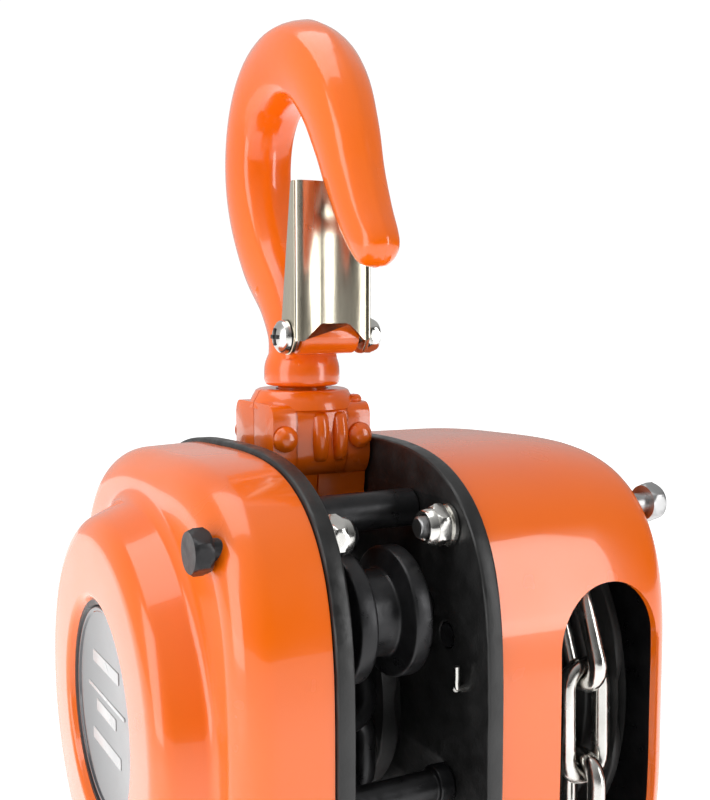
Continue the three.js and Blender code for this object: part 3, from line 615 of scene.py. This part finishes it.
def cross_recess():
    """A dark cross on the screw's head: painted shade standing in for the shadow in its cross recess."""
    soup = Soup()
    for y, z in ((2.3, 0.55), (0.55, 2.3)):
        corners = [(LATCH_Y - y, LATCH_Z - z), (LATCH_Y + y, LATCH_Z - z), (LATCH_Y + y, LATCH_Z + z)]
        corners.append((LATCH_Y - y, LATCH_Z + z))
        soup.add(*sheet_x([fillet(corners, 0.2, 2, True)], -14.72, -13.9, 0.08))
    return soup


def hexagon_nut(x0, x1, y, z, radius, bore):
    """A hexagon with chamfered corners: the hexagon prism cut by a cone at both ends."""
    rings = []
    count = 72
    side = radius * math.cos(math.pi / 6)
    start = [(x0, side), (x0 + 0.45, side + 0.3), (x0 + 1.1, radius)]
    finish = [(x1 - 1.1, radius), (x1 - 0.45, side + 0.3), (x1, side)]
    for x, limit in start + finish:
        ring = []
        for i in range(count):
            angle = 2 * math.pi * i / count
            flat = side / math.cos((angle + math.pi / 6) % (math.pi / 3) - math.pi / 6)
            r = min(flat, limit)
            ring.append((x, y + r * math.cos(angle), z + r * math.sin(angle)))
        rings.append(ring)
    if not bore:
        return loft(rings)
    for x in (x1, x0):
        angles = [2 * math.pi * i / count for i in range(count)]
        rings.append([(x, y + bore * math.cos(angle), z + bore * math.sin(angle)) for angle in angles])
    return loft(rings, loop=True)


def latch_spring():
    soup = Soup()
    turns, radius, wire = 3, 3.5, 0.42
    path = []
    for k in range(turns * 24 + 1):
        angle = 2 * math.pi * k / 24
        x = -10 + k / (turns * 24)
        path.append((x, LATCH_Y + radius * math.cos(angle), LATCH_Z + radius * math.sin(angle)))
    soup.add(*tube(path, wire, 8))
    return soup


# ---- yokes ----
def yoke_half(way, ring_z, pin_radius, slot_half):
    """A forged half of the yoke, about the cross pin. way is +1 at the rear and -1 at the front."""
    soup = Soup()
    shoulder = ring_z - 22
    gap = 0.16

    def slab(x0, x1, points, soft):
        outline = [(way * y, z) for y, z in points]
        soup.add(*sheet_x([outline], x0, x1, soft))

    eye = [(gap, -9), (4.5, -8), (8, -4.5), (9, 0), (10.4, shoulder), (gap, shoulder)]
    lower = fillet(eye, [0, 3, 3, 4, 0, 0], 5, True)
    # the two ears, on both sides of the slot for the chain or the middle of the block
    angles = [math.pi / 2 - math.pi * k / 16 for k in range(17)]
    bore = [(max(gap, pin_radius * math.cos(a)), pin_radius * math.sin(a)) for a in angles]
    ears = [p for p in lower if p[0] > gap + 0.01]
    outline = [(gap, -9)] + ears + [(gap, shoulder), (gap, pin_radius + 0.4)]
    outline += [(y + 0.4 if y > gap else y, z * 1.06) for y, z in bore] + [(gap, -pin_radius - 0.4)]
    for x0, x1 in ((-YOKE_HALF, -slot_half), (slot_half, YOKE_HALF)):
        slab(x0, x1, outline, 0.02)
    upper = [(gap, shoulder - 1.5), (10.4, shoulder - 1.5), (13.0, shoulder + 2.5)]
    upper += [(13.2, ring_z - 6), (11.5, ring_z - 3.4), (gap, ring_z - 3.4)]
    inner = NECK_RADIUS + 0.6
    body = fillet(upper, [0, 1.5, 3, 3, 1.5, 0], 5, True)
    for x0, x1 in ((-YOKE_HALF, -inner), (inner, YOKE_HALF)):
        slab(x0, x1, body, 0.02)
    front_wall = [(y if y > inner else inner, z) for y, z in body]
    slab(-inner - 0.5, inner + 0.5, front_wall, 0.02)
    # half of the conical ring that the hook's collar turns on
    profile = [(inner, ring_z - 4), (15.0, ring_z - 5), (14.6, ring_z - 3.2)]
    profile += [(13.0, ring_z - 0.4), (12.2, ring_z), (inner, ring_z)]
    steps = 40
    rings = []
    for k in range(steps + 1):
        angle = math.pi * k / steps
        c, s = math.cos(angle), math.sin(angle)
        rings.append([(r * c, way * (gap + r * s * 0.985), z) for r, z in profile])
    soup.add(*loft(rings))
    # rounded ribs and a small lug on the outside
    for middle, half_width in ((-0.5, 2.6), (5.4, 2.4)):
        rib = []
        for k in range(21):
            t = k / 20
            z = ring_z - 19.5 + 14.0 * t
            swell = math.sin(math.pi * min(1, max(0, t))) ** 0.35 if 0 < t < 1 else 0.0
            ring = []
            for i in range(24):
                angle = 2 * math.pi * i / 24
                x = middle + half_width * math.cos(angle) * (0.5 + 0.5 * swell)
                ring.append((x, way * (12.4 + 3.0 * swell * math.sin(angle)), z))
            rib.append(ring)
        soup.add(*loft(rib))
    lug = [(0, 0), (2.0, 0.2), (2.4, 1.4), (1.6, 2.6), (0, 2.8)]
    soup.add(*at(lathe(fillet(lug, 0.5), 20, "z"), YOKE_HALF - 2.6, way * 8.2, ring_z - 4.2))
    return soup


def rivet(x, z, y_end):
    profile = [(0, -y_end - 2.4), (2.0, -y_end - 2.1), (3.5, -y_end - 0.6), (3.6, -y_end)]
    profile += [(1.7, -y_end + 0.1), (1.7, y_end - 0.1)]
    profile += [(3.6, y_end), (3.5, y_end + 0.6), (2.0, y_end + 2.1), (0, y_end + 2.4)]
    return at(lathe(fillet(profile, 0.5), 32, "y"), x, 0, z)


def hook_block(prefix, x, y, saddle_z, pin_z, pin_radius, standing, bodies):
    block, latch_body, yoke_body = bodies
    reach = abs(saddle_z - pin_z)
    ring_z = reach + COLLAR_Z - 1

    def put(soup, z):
        return place_block(soup, standing, x, y, z)

    put(hook_shape(), saddle_z).make(
        prefix + "_hook_forging", FORGED, block, "orange_enamel", [prefix + "_hook"], 45
    )
    put(latch_shape(), saddle_z).make(
        prefix + "_latch_channel", LATCH_PLATED, latch_body, "latch_steel", [prefix + "_latch"], 40
    )
    put(pan_head_bolt(), saddle_z).make(
        prefix + "_latch_screw", ZINC, block, "zinc", [prefix + "_latch_bolt"]
    )
    # the cross is a thin black sheet on the zinc head: painted shade of the recess
    put(cross_recess(), saddle_z).make(prefix + "_latch_screw_cross_painted_shade", OXIDE, block, "black_oxide")
    if standing:
        nut = Soup().add(*hexagon_nut(LATCH_HALF + 0.3, LATCH_HALF + 4, LATCH_Y, LATCH_Z, 4.8, 2.3))
        put(nut, saddle_z).make("top_latch_hex_nut", ZINC, block, "zinc", ["top_latch_nut"])
        put(latch_spring(), saddle_z).make(
            "top_latch_coil", MACHINED, block, "machined_steel", ["top_latch_spring"]
        )
    rivet_x = YOKE_HALF - 3.4
    for name, way in (("front", -1), ("rear", 1)):
        half = yoke_half(way, ring_z, pin_radius, 0.2 if standing else 3.6)
        if not standing:
            for side in (-1, 1):
                half.add(*at(rivet(side * rivet_x, ring_z - 12.5, 13.3), 0, 0, 0))
        node = prefix + "_yoke_" + name
        put(half, pin_z).make(node + "_forging", FORGED, yoke_body, "orange_enamel", [node], 40)
    if standing:
        for name, side in (("left", -1), ("right", 1)):
            made = Soup().add(*rivet(side * rivet_x, ring_z - 12.5, 13.5))
            replaced = ["top_yoke_rivet_" + name]
            put(made, pin_z).make("top_yoke_rivet_head_" + name, FORGED, yoke_body, "orange_enamel", replaced)


TOP_BODIES = ("top_hook", "top_latch", "top_yoke")
BOTTOM_BODIES = ("bottom_hook", "bottom_latch", "bottom_yoke")
TOP_PIN_RADIUS = 6
BOTTOM_PIN_RADIUS = 4.5
hook_block("top", HOOK_X, 0, SADDLE_Z, TOP_PIN_Z, TOP_PIN_RADIUS, True, TOP_BODIES)
hook_block("bottom", 0, -LOAD_R, BOTTOM_SADDLE_Z, BOTTOM_PIN_Z, BOTTOM_PIN_RADIUS, False, BOTTOM_BODIES)


# ---- side plates, pins and stays ----
def smooth(low, high, value):
    t = min(1.0, max(0.0, (value - low) / (high - low)))
    return t * t * (3 - 2 * t)


def outline_radius(angle):
    rear = smooth(-0.6, 0.6, math.cos(angle))
    power = POWER_FRONT + (POWER_REAR - POWER_FRONT) * rear
    half = BODY_HALF_FRONT + (BODY_HALF_REAR - BODY_HALF_FRONT) * rear
    reach = abs(math.cos(angle)) ** power + abs(math.sin(angle)) ** power
    return half / reach ** (1 / power)


def outline(inset, count=180):
    points = []
    for i in range(count):
        angle = 2 * math.pi * i / count
        r = outline_radius(angle) - inset
        points.append((r * math.cos(angle), r * math.sin(angle)))
    return points


STAYS = {
    "stay_upper_front": (-34.5, 54),
    "stay_upper_rear": (34.5, 54),
    "stay_lower_front": (-52.5, -14),
    "stay_lower_rear": (52.5, -14),
}


def side_plate(name, side):
    holes = [circle(17.3, 64)]
    holes.append(circle(4.9, 32, 0, TOP_PIN_Z))
    holes += [circle(3.8, 24, y, z) for y, z in STAYS.values()]
    holes += [circle(3.1, 24, y, z) for y, z in (WHEEL_BOLTS if side > 0 else GEAR_BOLTS).values()]
    holes += [circle(3.8, 24, y, ROLLER_Z) for y in (-ROLLER_Y, ROLLER_Y)]
    holes.append(circle(3.3, 24, *ANCHOR))
    if side > 0:
        holes.append(circle(3.3, 24, *PAWL_PIN))
    else:
        holes += [circle(4.3, 24, y, 0) for y in (-34, 34)]
    x0, x1 = sorted((side * PLATE_IN, side * PLATE_OUT))
    soup = Soup().add(*sheet_x([outline(0)] + holes, x0, x1, 0.8))
    soup.make(name + "_pressing", PLATE_BLACK, "frame", "black_plate", [name], 30)


side_plate("gear_side_plate", -1)
side_plate("wheel_side_plate", 1)


def cross_bar(name, radius, end_radius, y, z, node, collar=0.0):
    inside = PLATE_IN - 0.3
    profile = [(0, -PLATE_OUT), (end_radius, -PLATE_OUT), (end_radius, -inside), (radius, -inside)]
    if collar:
        profile += [(radius, inside - 4.2), (collar, inside - 4.0)]
        profile += [(collar, inside), (end_radius, inside), (end_radius, PLATE_OUT), (0, PLATE_OUT)]
    else:
        profile += [(radius, inside), (end_radius, inside), (end_radius, PLATE_OUT), (0, PLATE_OUT)]
    soup = Soup().add(*at(lathe(fillet(profile, 0.4, 3), 40), 0, y, z))
    soup.make(name, OXIDE, "frame", "black_oxide", [node])


cross_bar("hook_pin_bar", 6, 4.6, 0, TOP_PIN_Z, "hook_pin")
STAY_RADIUS = 4.95
THIN_STAY_RADIUS = 3.9
STAY_END_RADIUS = 3.5
for stay, (stay_y, stay_z) in STAYS.items():
    if "upper" in stay:
        cross_bar(stay + "_bar", STAY_RADIUS, STAY_END_RADIUS, stay_y, stay_z, stay)
    else:
        cross_bar(stay + "_bar", THIN_STAY_RADIUS, STAY_END_RADIUS, stay_y, stay_z, stay, STAY_RADIUS)


def pin_end():
    """A bent wire end that stands from the right plate's inner face below the roller."""
    path = [(17.9, -60, 13.2), (16.2, -60.4, 13.2), (15.4, -60.6, 14.0)]
    path += [(15.3, -60.8, 16.4), (15.2, -60.9, 19)]
    soup = Soup().add(*tube(spline_points(path, 5), 0.75, 12))
    path = [(17.9, -58.6, 12.0), (16.6, -59.2, 12.2), (15.6, -60.0, 12.9)]
    soup.add(*tube(spline_points(path, 5), 0.7, 12))
    soup.make("pawl_spring_end", ZINC, "frame", "zinc")


pin_end()


# ---- cover bolts and nuts ----
def cover_fasteners():
    gear_side = (-1, "gear_cover", GEAR_BOLT_SEAT, GEAR_BOLTS)
    wheel_side = (1, "wheel_cover", WHEEL_BOLT_SEAT, WHEEL_BOLTS)
    for side, name, seat, places in (gear_side, wheel_side):
        for place, (y, z) in places.items():
            soup = Soup()
            x0, x1 = sorted((side * seat, side * (seat + 4.5)))
            soup.add(*hexagon_nut(x0, x1, y, z, HEX_RADIUS, 0))
            thread = [(0, side * (seat + 0.2)), (2.75, side * (seat + 0.2))]
            steps = 40
            inner_end = PLATE_IN - 9.1
            for k in range(steps):
                x = PLATE_IN - 0.1 - (PLATE_IN - 0.1 - inner_end) * k / steps
                thread.append((2.75 if k % 2 == 0 else 2.35, side * x))
            thread += [(2.2, side * inner_end), (0, side * inner_end)]
            soup.add(*at(lathe(thread, 28), 0, y, z))
            head = OXIDE if side < 0 else MACHINED
            bolt = name + "_bolt_" + place
            soup.make(name + "_hex_bolt_" + place, head, "frame", "black_oxide", [bolt], 30)
            soup = Soup()
            face = PLATE_IN - 0.3
            x0, x1 = sorted((side * (face - 4.9), side * (face - 1.0)))
            soup.add(*hexagon_nut(x0, x1, y, z, HEX_RADIUS, 3.05))
            collar = [(2.9, -4.7), (4.6, -4.7), (4.3, -6.6), (3.9, -7.1)]
            collar += [(3.3, -7.1), (2.9, -6.6), (2.9, -4.7)]
            soup.add(*at(lathe([(r, side * (face + x)) for r, x in collar], 40), 0, y, z))
            washer = [(3.0, -1.0), (5.5, -1.0), (5.5, 0), (3.0, 0), (3.0, -1.0)]
            soup.add(*at(lathe([(r, side * (face + x)) for r, x in washer], 40), 0, y, z))
            soup.make(name + "_lock_nut_" + place, ZINC, "frame", "zinc", [name + "_nut_" + place], 30)


cover_fasteners()


# ---- covers ----
SHEET = 2.0
COVER_SIDES = 240


def gear_cover():
    # along the pressing: x, and how far in from the outline (0) to the round boss (1)
    land = -45.0
    profile = [(-22.7, 1.2, None), (-39.5, 1.8, None), (land, 7.5, None), (land, None, 57.5)]
    profile += [(-46.2, None, 55.0), (-55.5, None, 51.0), (-58.0, None, 47.0), (-58.0, None, 31.2)]
    profile += [(-57.4, None, 30.2), (-54.8, None, 28.6), (-54.5, None, 28.0), (-54.5, None, 0.02)]
    soft = [0, 6, 6, 5, 5, 5, 5, 1, 1, 0.5, 0.5, 0]

    def outer_radius(angle, inset, radius):
        rim = outline_radius(angle)
        wanted = rim - inset if inset is not None else radius
        return min(wanted, rim - 1.2)

    def path_at(angle):
        points = [(x, outer_radius(angle, inset, radius)) for x, inset, radius in profile]
        # where the boss comes close to the rim there is no land: the wall runs straight up to it
        points[2] = (points[2][0], max(points[2][1], points[3][1] + 0.6))
        return fillet(points, soft, 6)

    def inner_path(points):
        shifted = []
        for i, (x, r) in enumerate(points):
            a, b = points[max(0, i - 1)], points[min(len(points) - 1, i + 1)]
            along = Vector((b[0] - a[0], b[1] - a[1]))
            along = along.normalized() if along.length > 1e-9 else Vector((-1, 0))
            shifted.append((x + abs(along.y) * SHEET, max(0.01, r - abs(along.x) * SHEET)))
        return shifted

    columns = []
    for i in range(COVER_SIDES):
        angle = 2 * math.pi * i / COVER_SIDES
        outside = path_at(angle)
        inside = inner_path(outside)
        c, s = math.cos(angle), math.sin(angle)
        column = [(x, r * c, r * s) for x, r in reversed(outside)] + [(x, r * c, r * s) for x, r in inside]
        columns.append(column)
    rings = [[column[k] for column in columns] for k in range(len(columns[0]))]
    soup = Soup().add(*loft(rings))
    lining = (OXIDE, len(rings) // 2 * COVER_SIDES)
    soup.make("gear_cover_pressing", ENAMEL, "frame", "orange_enamel", ["gear_cover"], 50, lining=lining)


gear_cover()


def nameplate():
    """A round plate with a raised rim and plain bars in place of lettering."""
    profile = [(0, -55.0), (26.0, -55.0), (26.4, -55.5), (27.2, -55.6)]
    profile += [(27.5, -55.2), (27.5, -54.8), (0, -54.8)]
    Soup().add(*lathe(fillet(profile, 0.15, 2), 96)).make(
        "nameplate_disc", NAMEPLATE, "frame", "nameplate", ["nameplate"], 40
    )
    soup = Soup()
    for z, half in ((12, 12), (3, 17), (-1, 9), (-10, 13)):
        height = 1.6 if z != 3 else 0.5
        bar = [(-half, z - height), (half, z - height), (half, z + height), (-half, z + height)]
        soup.add(*sheet_x([fillet(bar, 0.4, 2, True)], -55.12, -54.9, 0.03))
    soup.make("nameplate_bars", PLATE_PRINT, "frame", "nameplate")


nameplate()


SLOT_X = 57.0
SLOT_HALF = 16.4
SLOT_TOP = 36.5


def wheel_cover():
    profile = [(22.7, 1.2), (62.0, 1.6), (80.6, 4.2), (81.0, 26.0)]
    soft = [0, 8, 13, 0]

    def column(angle):
        rim = outline_radius(angle)
        points = fillet([(x, rim - inset) for x, inset in profile], soft, 9) + [(81.0, 0.02)]
        inside = []
        for i, (x, r) in enumerate(points):
            a, b = points[max(0, i - 1)], points[min(len(points) - 1, i + 1)]
            along = Vector((b[0] - a[0], b[1] - a[1])).normalized()
            inside.append((x - abs(along.y) * SHEET, max(0.01, r - abs(along.x) * SHEET)))
        c, s = math.cos(angle), math.sin(angle)
        return [(x, r * c, r * s) for x, r in reversed(points)] + [(x, r * c, r * s) for x, r in inside]

    columns = [column(2 * math.pi * i / COVER_SIDES) for i in range(COVER_SIDES)]
    rings = [[c[k] for c in columns] for k in range(len(columns[0]))]
    soup = Soup().add(*loft(rings))
    lining = (OXIDE, len(rings) // 2 * COVER_SIDES)
    obj = soup.make(
        "hand_wheel_cover_pressing", ENAMEL, "frame", "orange_enamel", ["hand_wheel_cover"], 40, lining=lining
    )
    angles = [math.pi * k / 32 for k in range(33)]
    middle_z = SLOT_TOP - SLOT_HALF
    arch = [(SLOT_X + SLOT_HALF * math.cos(a), middle_z + SLOT_HALF * math.sin(a)) for a in angles]
    slot = [(SLOT_X + SLOT_HALF, -90)] + arch + [(SLOT_X - SLOT_HALF, -90)]
    cutters = []
    for y0, y1 in ((-90, -38), (38, 90)):
        vertices = [(x, y0, z) for x, z in slot] + [(x, y1, z) for x, z in slot]
        count = len(slot)
        faces = [(i, (i + 1) % count, count + (i + 1) % count, count + i) for i in range(count)]
        faces += [tuple(range(count)), tuple(reversed(range(count, 2 * count)))]
        mesh = bpy.data.meshes.new("slot")
        mesh.from_pydata([row(v) for v in vertices], [], faces)
        work = bmesh.new()
        work.from_mesh(mesh)
        bmesh.ops.recalc_face_normals(work, faces=work.faces)
        work.to_mesh(mesh)
        work.free()
        cutter = bpy.data.objects.new("slot", mesh)
        bpy.context.scene.collection.objects.link(cutter)
        modifier = obj.modifiers.new("slot", "BOOLEAN")
        modifier.object = cutter
        modifier.operation = "DIFFERENCE"
        modifier.solver = "EXACT"
        cutters.append(cutter)
    bpy.context.view_layer.update()
    made = bpy.data.meshes.new_from_object(obj.evaluated_get(bpy.context.evaluated_depsgraph_get()))
    obj.modifiers.clear()
    obj.data = made
    made.shade_smooth()
    made.set_sharp_from_angle(angle=math.radians(40))
    for cutter in cutters:
        bpy.data.objects.remove(cutter)
    edge = obj.modifiers.new("edge", "BEVEL")
    edge.width = 0.0005
    edge.segments = 3
    edge.limit_method = "ANGLE"
    edge.angle_limit = math.radians(50)
    edge.harden_normals = True


wheel_cover()


# ---- rollers, sheave, hand wheel ----
def guide_rollers():
    profile = [(3.9, -10), (16.6, -10), (16.6, -5.2), (11, -4), (11, 4), (16.6, 5.2), (16.6, 10), (3.9, 10)]
    profile = fillet(profile, [0.4, 0.8, 0.8, 0.8, 0.8, 0.8, 0.8, 0.4], 3, True)
    profile.append(profile[0])
    for place, y in (("front", -ROLLER_Y), ("rear", ROLLER_Y)):
        node = "guide_roller_" + place
        roller = Soup().add(*at(lathe(profile, 96), 0, y, ROLLER_Z))
        roller.make(node + "_turned", OXIDE, node, "black_oxide", [node])
        pin = fillet([(0, -PLATE_OUT), (3.5, -PLATE_OUT), (3.5, PLATE_OUT), (0, PLATE_OUT)], 0.4, 3)
        Soup().add(*at(lathe(pin, 32), 0, y, ROLLER_Z)).make(
            "guide_roller_pin_" + place + "_bar", OXIDE, "frame", "black_oxide", ["guide_roller_pin_" + place]
        )


guide_rollers()


def pocket_wobble(pockets, rim, depth):
    """The rim dips between the pockets' lugs."""

    def wobble(radius, along, angle):
        if radius < rim - 0.5:
            return 0.0
        return -depth * (0.5 - 0.5 * math.cos(angle * pockets)) ** 3

    return wobble


def load_sheave():
    profile = [(6.5, -31.4), (9, -31.4), (9, -24.6), (11, -24.6), (11, -16), (33.2, -16), (33.2, -10.7)]
    profile += [(25.6, -10.7), (25.6, -3.7), (18.4, -3.7), (18.4, 3.7), (25.6, 3.7), (25.6, 10.7)]
    profile += [(33.2, 10.7), (33.2, 16), (11, 16), (11, 22.4), (6.5, 22.4)]
    profile = fillet(profile, 0.7, 3, True)
    profile.append(profile[0])
    Soup().add(*lathe(profile, 160, wobble=pocket_wobble(5, 33.2, 3.4))).make(
        "load_sheave_casting", CAST, "load_sheave", "cast_iron", ["load_sheave"], 40
    )


load_sheave()


def hand_wheel():
    link_room, slot_room = 9.2, 3.2
    floor_r, slot_r = HAND_R - 3.2, HAND_R - 9.2
    profile = [(6.2, 38.7), (27, 38.7), (27, 43), (14, 45), (14, 56), (slot_r - 3, 56)]
    profile += [(slot_r - 3, HAND_X - 12), (60, HAND_X - 12), (60, HAND_X - link_room)]
    profile += [(floor_r, HAND_X - link_room), (floor_r, HAND_X - slot_room)]
    profile += [(slot_r, HAND_X - slot_room), (slot_r, HAND_X + slot_room), (floor_r, HAND_X + slot_room)]
    profile += [(floor_r, HAND_X + link_room), (60, HAND_X + link_room), (60, HAND_X + 12)]
    profile += [(slot_r - 3, HAND_X + 12)]
    profile += [(slot_r - 3, 61), (14, 61), (14, 64), (6.2, 64)]
    profile = fillet(profile, 0.8, 3, True)
    profile.append(profile[0])
    Soup().add(*lathe(profile, 168, wobble=pocket_wobble(7, 60, 4.5))).make(
        "hand_wheel_casting", CAST, "hand_wheel", "cast_iron", ["hand_wheel"], 40
    )
    nut = Soup().add(*hexagon_nut(64.3, 70.5, 0, 0, 10.5, 6.2))
    nut.make("hand_wheel_hex_nut", ZINC, "hand_wheel", "zinc", ["hand_wheel_nut"], 30)


hand_wheel()


# ---- chains ----
def link(centre, along, across, pitch, wire, width, sides=14, arc_steps=10):
    """One welded link: two straight sides and two half-round ends."""
    centre, along, across = Vector(centre), Vector(along).normalized(), Vector(across).normalized()
    middle_r = (width - wire) / 2
    half = (pitch + wire) / 2 - middle_r
    path = []
    for sign in (1, -1):
        for k in range(arc_steps + 1):
            angle = -math.pi / 2 + math.pi * k / arc_steps
            a = sign * (half + middle_r * math.cos(angle))
            b = sign * middle_r * math.sin(angle)
            path.append(tuple(centre + along * a + across * b))
    return tube(path, wire / 2, sides, True)


def chain(path, pitch, wire, width, first_flat, x, closed=False, start=None):
    """Links at equal steps along a line of (y, z) points. Every second link stands in the line's own plane.

    start is how far along the line the middle of the first link lies."""
    points = [Vector(p) for p in path]
    lengths = [0.0]
    for a, b in zip(points, points[1:]):
        lengths.append(lengths[-1] + (b - a).length)
    total = lengths[-1]
    count = round(total / pitch)
    if closed and count % 2:
        count += 1
    step = total / count
    first = step / 2 if start is None else start
    soup = Soup()

    def at_length(s):
        s = s % total if closed else min(max(s, 0.0), total)
        for i in range(len(points) - 1):
            if s <= lengths[i + 1]:
                t = (s - lengths[i]) / (lengths[i + 1] - lengths[i])
                return points[i].lerp(points[i + 1], t)
        return points[-1]

    for k in range(count):
        s = first + k * step
        here = at_length(s)
        along = at_length(s + step / 2) - at_length(s - step / 2)
        direction = Vector((0, along.x, along.y)).normalized()
        flat = (k % 2 == 0) == first_flat
        across = Vector((1, 0, 0)) if flat else Vector((0, -direction.z, direction.y))
        soup.add(*link((x, here.x, here.y), direction, across, step, wire, width))
    return soup


def arc_points(radius, a0, a1, y, z, steps):
    angles = [math.radians(a0 + (a1 - a0) * k / steps) for k in range(steps + 1)]
    return [(y + radius * math.cos(angle), z + radius * math.sin(angle)) for angle in angles]


def chains():
    hand = arc_points(HAND_R, 180, 0, 0, 0, 60) + arc_points(HAND_R, 0, -180, 0, -HAND_DROP, 60)
    hand.append(hand[0])
    links = chain(hand, HAND_PITCH, HAND_WIRE, HAND_LINK_WIDTH, True, HAND_X, True, HAND_LINK_Z)
    links.make("hand_chain_links", ZINC, "frame", "zinc", ["hand_chain"], 60)
    loop_r = (ANCHOR[0] - LOAD_R) / 2
    load = arc_points(LOAD_R, 180, 0, 0, 0, 40)
    load += arc_points(loop_r, 180, 360, LOAD_R + loop_r, -82, 24)
    load.append((ANCHOR[0], ANCHOR[1] + 6))
    chain(load, LOAD_PITCH, LOAD_WIRE, LOAD_LINK_WIDTH, True, 0).make(
        "load_chain_links", OXIDE, "frame", "black_oxide", ["load_chain"], 60
    )
    fall = [(-LOAD_R, -3.6), (-LOAD_R, BOTTOM_PIN_Z - 4.5 + 9)]
    soup = chain(fall, LOAD_PITCH, LOAD_WIRE, LOAD_LINK_WIDTH, True, 0)
    soup.make("load_chain_fall_links", OXIDE, "fall", "black_oxide", ["load_chain_fall"], 60)


chains()


# ---- the rest keeps its CAD mesh, with a material of its own ----
KEPT = {
    "chain_anchor_pin": OXIDE,
    "bottom_yoke_pin": OXIDE,
    "sheave_bearing_gear_side": MACHINED,
    "sheave_bearing_wheel_side": MACHINED,
    "load_gear": MACHINED,
    "disc_gear_front": MACHINED,
    "disc_gear_rear": MACHINED,
    "drive_shaft": MACHINED,
    "brake_hub": MACHINED,
    "friction_disc_inner": LINING,
    "friction_disc_outer": LINING,
    "ratchet_disc": MACHINED,
    "pawl": MACHINED,
    "pawl_pin": OXIDE,
}
for node, finish in KEPT.items():
    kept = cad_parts[node]
    if not kept.material_slots:
        kept.data.materials.append(finish)
    for material_slot in kept.material_slots:
        material_slot.material = finish
